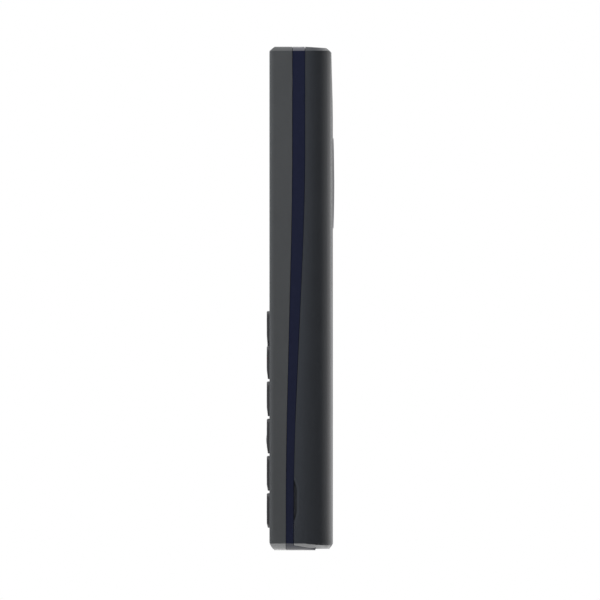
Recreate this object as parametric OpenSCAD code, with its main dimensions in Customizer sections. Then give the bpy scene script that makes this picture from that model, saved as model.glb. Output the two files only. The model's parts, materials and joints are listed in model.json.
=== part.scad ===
// Candybar phone: a bar-shaped keypad phone with a back cover that clips on.
// X runs across the phone, Y from the keys to the back and Z up its length.
// Each piece is drawn with its depth measured from the front face, then moved to the middle of the phone.

/* [Body] */
// Width across the two flat sides
body_w = 50; // [49:0.5:56]
// Length from the bottom end to the top end
body_h = 115; // [114:0.5:124]
// Depth from the front face to the back face
body_t = 14.5; // [14.3:0.1:16.5]
// Radius of the two long rear edges
rear_radius = 7; // [6:0.25:7.5]
// Radius of the two long front edges
front_radius = 0.5; // [0.2:0.1:0.9]
// Height of the bevel round the top end
top_bevel = 0.92; // [0.6:0.02:1.2]
// Height of the bevel round the bottom end
bottom_bevel = 1.53; // [1.2:0.01:1.8]
// How far the back face draws in towards the top end
roll_in = 0.35; // [0.1:0.05:0.6]
// Length over which the back face draws in
roll_length = 17; // [12:1:22]
// How far the top end slopes down towards the back
top_slope = 0.3; // [0.1:0.05:0.5]

/* [Shells] */
// Thickness of the front face
front_wall = 1.4; // [1.2:0.1:1.7]
// Thickness of the side and end walls of the housing and the frame
side_wall = 1.4; // [1.2:0.1:1.5]
// Thickness of the back cover
cover_wall = 1.1; // [0.9:0.1:1.3]
// Width of the seam between two shells
seam = 0.1; // [0.06:0.02:0.16]
// Slack between the cover and the rim that it clips over
rim_slack = 0.15; // [0.1:0.05:0.25]
// Thickness of that rim
rim_wall = 1; // [0.8:0.1:1.2]
// Depth of the rim's rear edge
rim_depth = 10.5; // [9.5:0.1:11.5]
// Thickness of the frame's deck
deck_t = 0.9; // [0.7:0.1:1.1]

/* [Band] */
// Depth of the front seam at the top end
front_seam_top = 5.24; // [5:0.02:5.6]
// Depth of the front seam at the bottom end
front_seam_bottom = 3.77; // [3.6:0.01:4]
// Depth of the rear seam at the top end
rear_seam_top = 8.12; // [7.8:0.02:8.6]
// Depth of the rear seam at the bottom end
rear_seam_bottom = 5.53; // [5.3:0.01:5.9]
// Height where the seams leave their lower straight run
sweep_start = 10; // [6:1:16]
// Height where the seams reach their upper straight run
sweep_end = 92; // [84:1:98]
// Depth of the frame's tongue on the bottom end
tongue_depth = 10.5; // [10.2:0.1:11]
// Height of the pry notch's middle
notch_z = 11.35; // [10:0.1:16]
// Length of the pry notch along the seam
notch_l = 10.3; // [8:0.1:12]
// Depth of the pry notch behind the seam
notch_d = 0.75; // [0.5:0.05:1]

/* [Keypad] */
// Distance from the keypad to each side of the body
keypad_margin = 3.5; // [3.2:0.1:4.5]
// Height of the lowest keys' lower edge
keypad_z = 5.1; // [5:0.1:6]
// Height of a number key
key_h = 7.95; // [7.5:0.05:8.1]
// Height of a soft key
soft_key_h = 7.5; // [7:0.05:7.7]
// Gap between two keys
key_gap = 0.55; // [0.5:0.05:0.7]
// How far the keys stand proud of the front face
key_rise = 0.61; // [0.4:0.01:0.9]
// How far a key travels when it is pressed
key_travel = 0.35; // [0.2:0.05:0.4]
// Corner radius of the keys
key_corner = 1.2; // [0.6:0.1:1.8]
// How far the lower edge of a key slopes down
key_slope = 0.25; // [0.1:0.01:0.35]
// Height of the locating nub on the middle number key
nub_h = 0.12; // [0.08:0.01:0.2]
// Width of the navigation ring
nav_w = 17.2; // [16.5:0.1:18]
// Width of the select key
select_w = 8.6; // [7.5:0.1:9]
// Height of the select key
select_h = 6.8; // [6:0.1:7.2]
// Thickness of the key mat
mat_t = 0.6; // [0.4:0.05:0.8]

/* [Display] */
// Width of the display window
window_w = 41; // [38:0.5:42]
// Distance from the keypad up to the display window
window_gap = 6.7; // [6:0.1:10]
// Thickness of the display window
window_t = 0.8; // [0.6:0.05:0.9]
// Distance from the top end to the window
window_top = 9; // [8.8:0.1:9.5]
// Width of the ledge that the window rests on
window_ledge = 2; // [1.6:0.1:2.4]

/* [Inside] */
// Thickness of the main board
board_t = 0.8; // [0.6:0.1:1]
// Space between the main board and the deck
board_space = 2; // [1.9:0.05:2.1]
// Distance from the battery to each side of the body
battery_margin = 8; // [7.5:0.25:10]
// Distance from the battery contacts up to the flash light
battery_gap = 3.95; // [3:0.05:9]
// Thickness of the battery
battery_t = 5.7; // [5:0.1:5.9]
// Height of the battery's lower end
battery_z = 15.5; // [15.3:0.1:17]
// Radius of a screw's shank
screw_r = 0.7; // [0.6:0.05:0.75]
// Radius of a screw boss
boss_r = 1.35; // [1.25:0.05:1.4]
// Running slack round a piece that moves or drops in
slack = 0.1; // [0.08:0.01:0.14]

/* [Ports] */
// Radius of the headset jack's bore
jack_r = 1.8; // [1.76:0.01:1.85]
// Length of the headset jack's bore
jack_bore_l = 13.4; // [12:0.1:13.6]
// Outer radius of the jack's nose
jack_nose_r = 2.7; // [2.4:0.05:2.8]
// Distance of the jack from the middle
jack_x = -12; // [-14:0.1:-10.5]
// Width of the charging socket
socket_w = 7.6; // [7:0.1:8]
// Depth of the charging socket
socket_t = 2.6; // [2.4:0.1:2.7]
// Radius of the torch lens
torch_r = 1.2; // [0.9:0.05:1.25]

/* [Camera] */
// Diameter of the camera island
island_d = 20.6; // [19:0.1:22]
// How far the island stands proud of the back face
island_rise = 0.33; // [0.2:0.01:0.6]
// How far the rim of the island stands proud
island_edge = 0.15; // [0.1:0.01:0.18]
// Distance from the top end to the middle of the island
island_top = 31.2; // [29:0.1:33]
// Radius of the camera window
lens_r = 3.4; // [3:0.1:3.8]
// Radius of the flash window
flash_r = 1.4; // [1.1:0.1:1.6]

/* [Hidden] */
$fn = 48;
// Straight pieces that make up one curved seam
seam_steps = 20;
// Straight pieces in one end bevel
bevel_steps = 4;
// Front view of the end bevels: reach along the end and height, and the tilts at which they start and stop
top_edge = [1.74 * top_bevel, top_bevel];
top_edge_tilt = [50, 70];
bottom_edge = [1.43 * bottom_bevel, bottom_bevel];
bottom_edge_tilt = [42, 68];
// Side view of the top end: reach of its corners in depth and height, and their tilts
top_corner = [1.2, 1.05];
top_tilt = [38, 52];
// The same for the lower corner at the front
foot_corner = [1.15, 1.75];
foot_tilt = [15, 50];
// The same for the lower corner at the back
rear_corner = [0.765 * bottom_bevel, 0.98 * bottom_bevel];
rear_tilt = [38, 58];
// Turns about the middle of a rear edge at which cuts carry the end bevels round it
rear_turns = [15:15:75];
// Reach of those cuts at the bottom end, and the share of the bevel's height that they lose half way round
rear_reach = 0.98 * bottom_bevel;
rear_dip = 0.25;
// Distance from the body's lower end up to the cover
cover_lift = 0.3;
// Room for a cut to run past the solid that it cuts
over = 5;
// Overlap where two shapes of one piece join
join = 0.2;

// Depths of the layers behind the front face
seat = 0.05;
cap_back = front_wall - slack;
mat_front = cap_back + key_travel + slack;
mat_back = mat_front + mat_t;
stem_reach = 0.15;
stem_end = mat_back + stem_reach;
dome_h = 0.3;
board_front = stem_end + key_travel + slack + dome_h;
board_back = board_front + board_t;
deck_front = board_back + board_space;
deck_back = deck_front + deck_t;
cover_inside = body_t - cover_wall;

// Half widths and middles
half_w = body_w / 2;
depth_middle = (body_t + island_rise - key_rise - nub_h) / 2;
rim_inset = cover_wall + rim_slack;
inner_half = half_w - side_wall;

// Rows and columns of the keypad
rows = 4;
columns = 3;
number_names = [
    "key_star", "key_0", "key_hash",
    "key_7", "key_8", "key_9",
    "key_4", "key_5", "key_6",
    "key_1", "key_2", "key_3"
];
keypad_w = body_w - 2 * keypad_margin;
row_pitch = key_h + key_gap;
key_w = (keypad_w - (columns - 1) * key_gap) / columns;
nav_z = keypad_z + rows * row_pitch;
nav_h = 2 * soft_key_h + key_gap;
nav_top = nav_z + nav_h;
nav_middle = nav_z + nav_h / 2;
soft_key_w = (keypad_w - nav_w) / 2 - key_gap;
soft_key_x = (keypad_w - soft_key_w) / 2;
stem_r = 1.5;
// Length of the sloped lower edge on the lowest row, and what each row above adds to it
slope_length = 1.1;
slope_growth = 0.33;
opening_slack = 0.25;
mat_margin = 0.75;
mat_rim = 0.65;
mat_rim_front = front_wall + seat;

// Navigation ring: it rocks on two round ridges of the pad, and the pad on two pins in the mat
ring_slack = 0.4;
ring_corner = 2.6;
pad_t = 0.5;
ridge_r = 0.3;
pad_front = cap_back + seat + ridge_r;
select_drop = 0.17;

// Display
window_z0 = nav_top + window_gap;
window_z1 = body_h - window_top;
window_h = window_z1 - window_z0;
window_middle = (window_z0 + window_z1) / 2;
window_corner = 2;
opening_w = window_w - 2 * window_ledge;
opening_h = window_h - 2 * window_ledge;
frame_margin = 0.9;
frame_wall = 0.7;
lcd_w = opening_w + 2 * (frame_margin - frame_wall - slack);
lcd_h = opening_h + 2 * (frame_margin - frame_wall - slack);
lcd_front = front_wall + 2 * seat;
panel_t = 1;
lcd_back = board_front - 2 * seat;

// Screws
head_r = 1.15;
head_t = 0.8;
screw_l = 4.2;
bore_relief = 0.3;
boss_inset = 4.4;
low_boss_inset = 6;
boss_drop = 1.6;
boss_places = [
    [half_w - low_boss_inset, side_wall + boss_r - seat],
    [half_w - boss_inset, nav_top + mat_margin + slack + boss_r],
    [half_w - boss_inset, body_h - side_wall - boss_r - boss_drop]
];

// Main board
board_margin = 3.1;
board_end_gap = 0.6;
board_z0 = side_wall + board_end_gap;
board_z1 = body_h - side_wall - board_end_gap;
dome_r = 2;
film_t = 0.1;

// Camera
island_z = body_h - island_top;
camera_offset = 4;
camera_z = island_z + camera_offset;
flash_offset = -5;
flash_z = island_z + flash_offset;
camera_w = 8;
camera_wall = 1.5;
camera_gap = 1;
camera_back = cover_inside - camera_gap;
barrel_r = 2.5;
barrel_l = 0.8;
lens_ledge = 0.5;
island_seat = 0.55;
island_floor = body_t - island_seat;
lens_t = 0.55;
shroud_wall = 0.5;
shroud_r = flash_r + 2 * shroud_wall;

// Battery bay, from the battery's lower end up to the contacts below the flash light
contact_w = 14;
contact_h = 3;
contact_rise = 4;
blade_l = 0.9;
blade_w = 1.2;
blade_pitch = 4;
contact_z0 = flash_z - shroud_r - battery_gap - contact_h;
battery_w = body_w - 2 * battery_margin;
battery_z1 = contact_z0 - blade_l - seat;
battery_h = battery_z1 - battery_z;
battery_front = deck_back + slack;
battery_corner = 1.5;
contact_back = battery_front + contact_rise;
bay_slack = 0.3;
bay_wall = 0.8;
bay_rise = 3;
bay_depth = deck_back + bay_rise;

// Shield cans above the battery, card sockets and their window behind it
can_gap = 2.5;
can_top = 19;
can_split = 1;
can_edge = 3.9;
can_wall = 0.25;
can_z = [contact_z0 + contact_h + can_gap, body_h - can_top];
can_x = [can_split, half_w - board_margin - can_edge];
socket_box_t = 1.6;
sim_size = [13.4, 12.4];
sim_gap = 1;
sim_drop = 6;
sim_z = battery_z + battery_h / 2 - sim_drop;
card_size = [12.6, 11.6];
card_gap = 3.5;
card_z = sim_z + sim_size[1] / 2 + card_gap + card_size[1] / 2;
card_window_edge = 1.2;
card_window_room = 2.9;
card_window_x = battery_w / 2 - card_window_edge;
card_window_z = [
    sim_z - sim_size[1] / 2 - card_window_room,
    card_z + card_size[1] / 2 + card_window_room
];

// Ports on the bottom end
jack_w = 6;
jack_sole = 0.1;
jack_d = board_back + 2 * seat + jack_nose_r + jack_sole;
jack_mouth = 0.15;
jack_cap = 0.6;
jack_end = jack_mouth + jack_bore_l + jack_cap;
socket_lift = 0.55;
socket_d0 = board_back + socket_lift;
socket_d = socket_d0 + socket_t / 2;
socket_l = 5.6;
socket_mouth = 0.4;
socket_wall = 0.3;
port_slack = 0.15;
mic_x = 9;
mic_r = 0.5;
mic_lift = 0.7;
mic_gap = 0.3;
mic_d = board_back + mic_lift;

// Top end
torch_d = (front_seam_top + rear_seam_top) / 2;
torch_reach = 1.4;
torch_z0 = body_h - side_wall - torch_reach;
torch_led_w = 3.2;
torch_led_h = 2;
earpiece_top = 5.8;
earpiece_z = body_h - earpiece_top;
earpiece_w = 9;
earpiece_h = 1.1;
earpiece_corner = 0.5;
earpiece_margin = 1.5;
mesh_t = 0.3;
mesh_recess = 0.4;
mesh_margin = 0.8;
speaker_x = -10.5;
speaker_top = 13;
speaker_z = body_h - speaker_top;
speaker_w = 14;
speaker_h = 10;
speaker_t = 3.6;
speaker_corner = 1.5;
speaker_slots = 3;
slot_pitch = 2.2;
slot_w = 8;
slot_h = 0.9;
slot_corner = 0.4;
gasket_inset = 0.5;
gasket_wall = 1.4;
speaker_mesh_t = 0.15;
speaker_mesh_d = cover_inside - roll_in - speaker_mesh_t;
motor_r = 2;
motor_l = 8;
motor_x = 5;
motor_top = 12;
motor_z = body_h - motor_top;
motor_d = deck_back + seat + motor_r;
cradle_inset = 0.8;
shaft_r = 0.4;
weight_l = 3.4;
weight_gap = 0.7;

// Helpers

function smooth(t) = t <= 0 ? 0 : t >= 1 ? 1 : t * t * (3 - 2 * t);

function backwards(points) = [for (i = [len(points) - 1:-1:0]) points[i]];

// Depth of a seam at a height, from its depths at the bottom and the top
function seam_depth(low, high, z) =
    low + (high - low) * smooth((z - sweep_start) / (sweep_end - sweep_start));

function front_seam(z) = seam_depth(front_seam_bottom, front_seam_top, z);

function rear_seam(z) = seam_depth(rear_seam_bottom, rear_seam_top, z);

// Heights at which a seam has a point, past both ends of the body
seam_heights = concat(
    [-over],
    [for (i = [0:seam_steps]) sweep_start + (sweep_end - sweep_start) * i / seam_steps],
    [body_h + over]
);

// Points of a bevel at the corner [x, z], from the upright face to the level one, reaching in by size
function bevel(corner, size, out, tilt) = [
    for (i = [0:bevel_steps])
        let (
            a = tilt[0] + (tilt[1] - tilt[0]) * i / bevel_steps,
            inward = (cos(tilt[0]) - cos(a)) / (cos(tilt[0]) - cos(tilt[1])),
            along = (sin(tilt[1]) - sin(a)) / (sin(tilt[1]) - sin(tilt[0]))
        )
        [corner[0] - out[0] * size[0] * inward, corner[1] - out[1] * size[1] * along]
];

// Rectangle with true round corners, centred
module rounded(w, h, r) {
    square([w - 2 * r, h], center = true);
    square([w, h - 2 * r], center = true);
    for (x = [-1, 1])
        for (y = [-1, 1])
            translate([x * (w / 2 - r), y * (h / 2 - r)])
                circle(r);
}

// Draws an outline seen from the front between two depths
module plate(front, back) {
    translate([0, back, 0])
        rotate([90, 0, 0])
            linear_extrude(back - front)
                children();
}

// Draws an outline of depth and height right across a width
module across(w) {
    rotate([90, 0, 90])
        linear_extrude(w, center = true)
            children();
}

// Box from its lowest to its highest corner
module box(low, high) {
    translate(low)
        cube(high - low);
}

// Round bar along the depth
module depth_bar(r, x, z, front, back) {
    translate([x, front, z])
        rotate([-90, 0, 0])
            cylinder(h = back - front, r = r);
}

// Moves a piece from depths measured at the front face to the middle of the phone
module placed() {
    translate([0, -depth_middle, 0])
        children();
}

// Both sides of the phone
module both_sides() {
    children();
    mirror([1, 0, 0])
        children();
}

// Outer form

// Section across the body, drawn in by inset, with a round front edge only on the outside
module section(inset) {
    w = half_w - inset;
    arc_x = half_w - rear_radius;
    arc_d = body_t - rear_radius;
    edge = inset > 0 ? 0 : front_radius;
    difference() {
        union() {
            translate([-w, inset])
                square([2 * w, arc_d - inset]);
            translate([-arc_x, inset])
                square([2 * arc_x, body_t - 2 * inset]);
            for (x = [-arc_x, arc_x])
                translate([x, arc_d])
                    circle(rear_radius - inset);
        }
        if (edge > 0)
            for (side = [-1, 1])
                translate([side * w, 0])
                    difference() {
                        square(2 * edge, center = true);
                        translate([-side * edge, edge])
                            circle(edge);
                    }
    }
}

// Length of a bevel's leg on a form that is drawn in by inset
function leg(size, inset) = max(size - inset * (2 - sqrt(2)), 0.1);

// Depth of the back face at a height
function back_face(z) = body_t - roll_in * smooth((z - body_h + roll_length) / roll_length);

// Side view of the body, drawn in by inset
module side_profile(inset) {
    rear = [for (size = rear_corner) leg(size, inset)];
    foot = [for (size = foot_corner) leg(size, inset)];
    high = [for (size = top_corner) leg(size, inset)];
    top = body_h - inset;
    rear_top = top - top_slope;
    roll_steps = 5;
    polygon(concat(
        bevel([inset, inset], foot, [-1, -1], foot_tilt),
        backwards(bevel([body_t - inset, inset], rear, [1, -1], rear_tilt)),
        [
            for (i = [0:roll_steps - 1])
                let (z = body_h - roll_length + (roll_length - 2 * top_bevel) * i / (roll_steps - 1))
                [back_face(z) - inset, min(z, rear_top - high[1] - 0.05)]
        ],
        bevel([body_t - roll_in - inset, rear_top], high, [1, 1], top_tilt),
        [[rear_seam_top, top]],
        backwards(bevel([inset, top], high, [-1, 1], top_tilt))
    ));
}

// Front view of the body with its end bevels
module front_outline() {
    polygon(concat(
        bevel([-half_w, 0], bottom_edge, [-1, -1], bottom_edge_tilt),
        backwards(bevel([half_w, 0], bottom_edge, [1, -1], bottom_edge_tilt)),
        bevel([half_w, body_h], top_edge, [1, 1], top_edge_tilt),
        backwards(bevel([-half_w, body_h], top_edge, [-1, 1], top_edge_tilt))
    ));
}

// Cuts an end of a rear edge back by reach at the end's height, down to nothing at a rise from there
module rear_edge_cut(end, reach, rise) {
    plate(-rear_radius, rear_radius)
        polygon([
            [rear_radius - 2 * reach, end - rise],
            [rear_radius + reach, end - rise],
            [rear_radius + reach, end + 2 * rise]
        ]);
}

module rear_edge_cuts() {
    both_sides()
        translate([half_w - rear_radius, body_t - rear_radius, 0])
            for (turn = rear_turns)
                rotate([0, 0, turn]) {
                    rear_edge_cut(0, rear_reach, bottom_bevel * (1 - rear_dip * sin(2 * turn)));
                    rear_edge_cut(body_h, top_edge[0], -top_edge[1]);
                }
}

module body_form() {
    difference() {
        intersection() {
            linear_extrude(body_h)
                section(0);
            plate(-over, body_t + over)
                front_outline();
            across(body_w + over)
                side_profile(0);
        }
        rear_edge_cuts();
    }
}

// The same form drawn in on all sides, with plain corners
module inner_form(inset) {
    intersection() {
        linear_extrude(body_h)
            section(inset);
        across(body_w + over)
            side_profile(inset);
    }
}

// All that lies between two seams, each given as a list of [depth, height]
module between(front_points, back_points) {
    across(body_w + 2 * over)
        polygon(concat(front_points, backwards(back_points)));
}

function front_seam_line(shift) = [for (z = seam_heights) [front_seam(z) + shift, z]];

function rear_seam_line(shift) = [for (z = seam_heights) [rear_seam(z) + shift, z]];

function depth_line(depth) = [[depth, -over], [depth, body_h + over]];

// Part of the bottom end that belongs to the frame, grown by room
module tongue(room) {
    inner = half_w - 0.74 * bottom_edge[0];
    outer = half_w - 0.13 * bottom_edge[0];
    translate([0, 0, -over])
        linear_extrude(over + side_wall + room)
            polygon([
                [-outer - room, rear_seam_bottom - 1],
                [outer + room, rear_seam_bottom - 1],
                [inner + room, tongue_depth + room],
                [-inner - room, tongue_depth + room]
            ]);
}

// Places of the six screws
module at_bosses() {
    for (place = boss_places)
        for (side = [-1, 1])
            translate([side * place[0], 0, place[1]])
                children();
}

// Shells

tab_heights = [for (share = [0.21, 0.45, 0.7]) share * body_h];
tab_l = 5;
tab_wall = 0.7;
tab_reach = 0.9;
tab_depth = 9;
lip_wall = 0.7;
lip_slack = 0.15;
lip_reach = 0.8;
lip_ends = [8, 10];
rim_start = 6;
notch_cut = 0.7;
notch_flat = 5.5;

// Outline of the mesh behind the earpiece's slot
module mesh_outline(margin) {
    square([earpiece_w + 2 * margin, earpiece_h + 2 * margin], center = true);
}

module front_housing() {
    color("dimgray")
        difference() {
            union() {
                difference() {
                    intersection() {
                        body_form();
                        between(depth_line(-over), front_seam_line(-seam / 2));
                    }
                    box([-inner_half, front_wall, side_wall], [inner_half, body_t, body_h - side_wall]);
                }
                at_bosses()
                    depth_bar(boss_r, 0, 0, front_wall - join, deck_front - seat);
            }
            translate([0, 0, window_middle]) {
                plate(-over, window_t + seat)
                    rounded(window_w + 2 * slack, window_h + 2 * slack, window_corner);
                plate(-over, front_wall + join)
                    rounded(opening_w, opening_h, window_corner / 2);
            }
            translate([0, 0, (keypad_z + nav_top) / 2])
                plate(-over, front_wall + join)
                    rounded(
                        keypad_w + 2 * opening_slack,
                        nav_top - keypad_z + 2 * opening_slack,
                        key_corner
                    );
            translate([0, 0, earpiece_z]) {
                plate(-over, front_wall + join)
                    rounded(earpiece_w, earpiece_h, earpiece_corner);
                plate(front_wall - mesh_recess, front_wall + join)
                    mesh_outline(mesh_margin + slack);
            }
            at_bosses()
                depth_bar(screw_r + seat, 0, 0, deck_back - screw_l - bore_relief, body_t);
        }
}

// Visible ring of the frame between the two seams
module frame_band() {
    difference() {
        intersection() {
            body_form();
            between(front_seam_line(seam / 2), rear_seam_line(-seam / 2));
        }
        box([-inner_half, -over, side_wall], [inner_half, body_t + over, body_h - side_wall]);
    }
}

// Lips along the two sides that locate the front housing
module frame_lips() {
    both_sides() {
        intersection() {
            between(front_seam_line(-lip_reach), front_seam_line(lip_reach));
            box(
                [inner_half - lip_slack - lip_wall, -over, lip_ends[0]],
                [inner_half - lip_slack, body_t, body_h - lip_ends[1]]
            );
        }
        intersection() {
            between(front_seam_line(seam), front_seam_line(lip_reach));
            box(
                [inner_half - lip_slack - join, -over, lip_ends[0]],
                [inner_half + join, body_t, body_h - lip_ends[1]]
            );
        }
    }
}

// Rim that the back cover clips over
module frame_rim() {
    difference() {
        intersection() {
            inner_form(rim_inset);
            between(rear_seam_line(-lip_reach), depth_line(rim_depth));
        }
        inner_form(rim_inset + rim_wall);
        box([-body_w, -over, -over], [body_w, body_t + over, rim_start]);
    }
}

module frame_deck() {
    intersection() {
        inner_form(rim_inset);
        between(depth_line(deck_front), depth_line(deck_back));
    }
}

// Low walls on the deck that hold the battery, the motor, the camera and the flash light
module deck_walls() {
    bay_x = battery_w / 2 + bay_slack;
    both_sides()
        box(
            [bay_x, deck_back - join, battery_z],
            [bay_x + bay_wall, bay_depth, battery_z1]
        );
    box(
        [jack_x + jack_w / 2 + 1, deck_back - join, battery_z - bay_slack - bay_wall],
        [bay_x, bay_depth, battery_z - bay_slack]
    );
    box(
        [motor_x + cradle_inset, deck_back - join, motor_z - motor_r - bay_wall],
        [motor_x + motor_l - cradle_inset, motor_d, motor_z + motor_r + bay_wall]
    );
    translate([0, 0, camera_z])
        plate(deck_back - join, deck_back + camera_wall)
            difference() {
                square(camera_w + 2 * (bay_slack + bay_wall), center = true);
                square(camera_w + 2 * bay_slack, center = true);
            }
    depth_bar(shroud_r, 0, flash_z, deck_back - join, cover_inside - shroud_wall);
}

// Slots in the rim for the cover's tabs
module tab_slots() {
    half = tab_l / 2 + slack;
    inner = inner_half - lip_slack - tab_wall - slack;
    both_sides()
        for (z = tab_heights) {
            box([inner, rear_seam(z) - tab_reach - slack, z - half], [inner_half, body_t, z + half]);
            box([inner, rear_seam(z) + seam, z - half], [half_w, body_t, z + half]);
        }
}

module middle_frame() {
    color("midnightblue")
        difference() {
            union() {
                frame_band();
                frame_lips();
                frame_rim();
                frame_deck();
                deck_walls();
                intersection() {
                    body_form();
                    tongue(0);
                }
            }
            tab_slots();
            // Windows for the card sockets and the battery contacts
            box(
                [-card_window_x, deck_front - join, card_window_z[0]],
                [card_window_x, deck_back + join, card_window_z[1]]
            );
            box(
                [-contact_w / 2 - bay_slack, deck_front - join, contact_z0 - bay_slack],
                [contact_w / 2 + bay_slack, deck_back + join, contact_z0 + contact_h + bay_slack]
            );
            // Ports on the bottom end
            translate([jack_x, jack_d, -over])
                cylinder(h = over + side_wall + join, r = jack_nose_r + slack);
            box(
                [jack_x - jack_w / 2 - bay_slack, deck_front - join, side_wall],
                [jack_x + jack_w / 2 + bay_slack, deck_back + join, jack_end + bay_slack]
            );
            box(
                [-socket_w / 2 - port_slack, socket_d0 - port_slack, -over],
                [socket_w / 2 + port_slack, socket_d0 + socket_t + port_slack, side_wall + join]
            );
            box(
                [-socket_w / 2 - bay_slack, deck_front - join, side_wall],
                [socket_w / 2 + bay_slack, deck_back + join, socket_mouth + socket_l + bay_slack]
            );
            translate([mic_x, mic_d, -over])
                cylinder(h = over + side_wall + join, r = mic_r);
            // Torch on the top end
            translate([0, torch_d, torch_z0 - join])
                cylinder(h = over + body_h - torch_z0, r = torch_r + slack);
            box(
                [-torch_led_w / 2 - bay_slack, deck_front - join, torch_z0 - torch_led_h - 2 * bay_slack],
                [torch_led_w / 2 + bay_slack, deck_back + join, torch_z0 + slack]
            );
            // Seat of the motor, well of the flash light and screw holes
            translate([motor_x - over, motor_d, motor_z])
                rotate([0, 90, 0])
                    cylinder(h = motor_l + 2 * over, r = motor_r + seat);
            depth_bar(flash_r + shroud_wall, 0, flash_z, deck_back, body_t);
            at_bosses()
                depth_bar(screw_r + slack, 0, 0, deck_front - join, deck_back + join);
        }
}

// Tongues inside the cover that slide into the rim
module cover_tabs() {
    both_sides()
        for (z = tab_heights) {
            inner = inner_half - lip_slack - tab_wall;
            box(
                [inner, rear_seam(z) - tab_reach, z - tab_l / 2],
                [inner + tab_wall, tab_depth, z + tab_l / 2]
            );
            box(
                [inner, rear_seam(z) + 2 * seam, z - tab_l / 2],
                [half_w - cover_wall + join, tab_depth, z + tab_l / 2]
            );
        }
}

module pry_notch() {
    base = rear_seam(notch_z);
    translate([half_w, 0, notch_z])
        across(2 * notch_cut)
            polygon([
                [base - over, -notch_l / 2],
                [base, -notch_l / 2],
                [base + notch_d, -notch_flat / 2],
                [base + notch_d, notch_flat / 2],
                [base, notch_l / 2],
                [base - over, notch_l / 2]
            ]);
}

module back_cover() {
    color("#33363a")
        difference() {
            union() {
                difference() {
                    intersection() {
                        body_form();
                        between(rear_seam_line(seam / 2), depth_line(body_t + over));
                    }
                    inner_form(cover_wall);
                }
                cover_tabs();
            }
            tongue(seam);
            box([-body_w, rear_seam_bottom - 1, -over], [body_w, body_t + over, cover_lift]);
            pry_notch();
            depth_bar(island_d / 2 + slack, 0, island_z, island_floor, body_t + over);
            depth_bar(lens_r - lens_ledge, 0, camera_z, cover_inside - over, body_t);
            depth_bar(flash_r + slack, 0, flash_z, cover_inside - over, body_t);
            for (i = [0:speaker_slots - 1])
                translate([speaker_x, 0, speaker_z + (i - (speaker_slots - 1) / 2) * slot_pitch])
                    plate(cover_inside - 1, body_t + over)
                        rounded(slot_w, slot_h, slot_corner);
        }
}

// Camera island

// Height of the dome above its rim, at a share of the island's radius
function dome_at(share) = island_edge + (island_rise - island_edge) * (1 - share * share);

module camera_island() {
    dome_steps = 6;
    color("black")
        difference() {
            translate([0, body_t, island_z])
                rotate([-90, 0, 0])
                    rotate_extrude()
                        polygon(concat(
                            [[0, seat - island_seat], [island_d / 2, seat - island_seat]],
                            [
                                for (i = [dome_steps:-1:0])
                                    [island_d / 2 * i / dome_steps, dome_at(i / dome_steps)]
                            ]
                        ));
            depth_bar(lens_r + slack, 0, camera_z, island_floor - over, body_t + over);
            depth_bar(flash_r + slack, 0, flash_z, island_floor - over, body_t + over);
        }
}

module camera_window() {
    color("lightslategray")
        depth_bar(lens_r, 0, camera_z, island_floor + seat, island_floor + seat + lens_t);
}

module flash_window() {
    color("ivory")
        depth_bar(flash_r, 0, flash_z, cover_inside, body_t + island_edge);
}

module camera_module() {
    color("black") {
        translate([0, 0, camera_z])
            plate(deck_back + seat, camera_back)
                square(camera_w, center = true);
        depth_bar(barrel_r, 0, camera_z, camera_back - join, camera_back + barrel_l);
    }
}

module flash_led() {
    led_w = 2.4;
    led_t = 1.2;
    color("gold")
        translate([0, 0, flash_z])
            plate(deck_back + seat, deck_back + led_t)
                square(led_w, center = true);
}

// Display

module display_window() {
    color("#101214")
        translate([0, 0, window_middle])
            plate(0, window_t)
                rounded(window_w, window_h, window_corner);
}

module lcd_panel() {
    color("darkslategray")
        translate([0, 0, window_middle])
            plate(lcd_front, lcd_front + panel_t)
                square([lcd_w, lcd_h], center = true);
}

module lcd_backlight() {
    color("white")
        translate([0, 0, window_middle])
            plate(lcd_front + panel_t + seat, lcd_back)
                square([lcd_w, lcd_h], center = true);
}

module lcd_frame() {
    color("silver")
        translate([0, 0, window_middle])
            plate(front_wall + seat, board_front - seat)
                difference() {
                    square([opening_w + 2 * frame_margin, opening_h + 2 * frame_margin], center = true);
                    square([lcd_w + 2 * slack, lcd_h + 2 * slack], center = true);
                }
}

module earpiece() {
    color("dimgray")
        translate([0, 0, earpiece_z])
            plate(front_wall + seat, board_front - seat)
                rounded(
                    earpiece_w + 2 * earpiece_margin,
                    earpiece_h + 2 * earpiece_margin,
                    2 * earpiece_corner
                );
}

module earpiece_mesh() {
    color("black")
        translate([0, 0, earpiece_z])
            plate(front_wall - mesh_recess + seat, front_wall - mesh_recess + seat + mesh_t)
                mesh_outline(mesh_margin);
}

// Keypad

number_places = [
    for (row = [0:rows - 1])
        for (column = [0:columns - 1])
            [(column - (columns - 1) / 2) * (key_w + key_gap), keypad_z + row * row_pitch + key_h / 2]
];
upper_soft_z = nav_top - soft_key_h / 2;
lower_soft_z = nav_z + soft_key_h / 2;
soft_places = [
    [-soft_key_x, upper_soft_z],
    [soft_key_x, upper_soft_z],
    [-soft_key_x, lower_soft_z],
    [soft_key_x, lower_soft_z]
];
ring_stem_r = 0.7;
ring_stems = [
    [select_w / 2 + ring_slack + ring_stem_r + slack, 0],
    [0, select_h / 2 + ring_slack + ring_stem_r + slack]
];
nav_domes = [for (stem = ring_stems) for (side = [-1, 1]) [side * stem[0], nav_middle + side * stem[1]]];
guided_stems = concat(number_places, soft_places);
dome_places = concat(guided_stems, [[0, nav_middle]], nav_domes);

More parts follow.
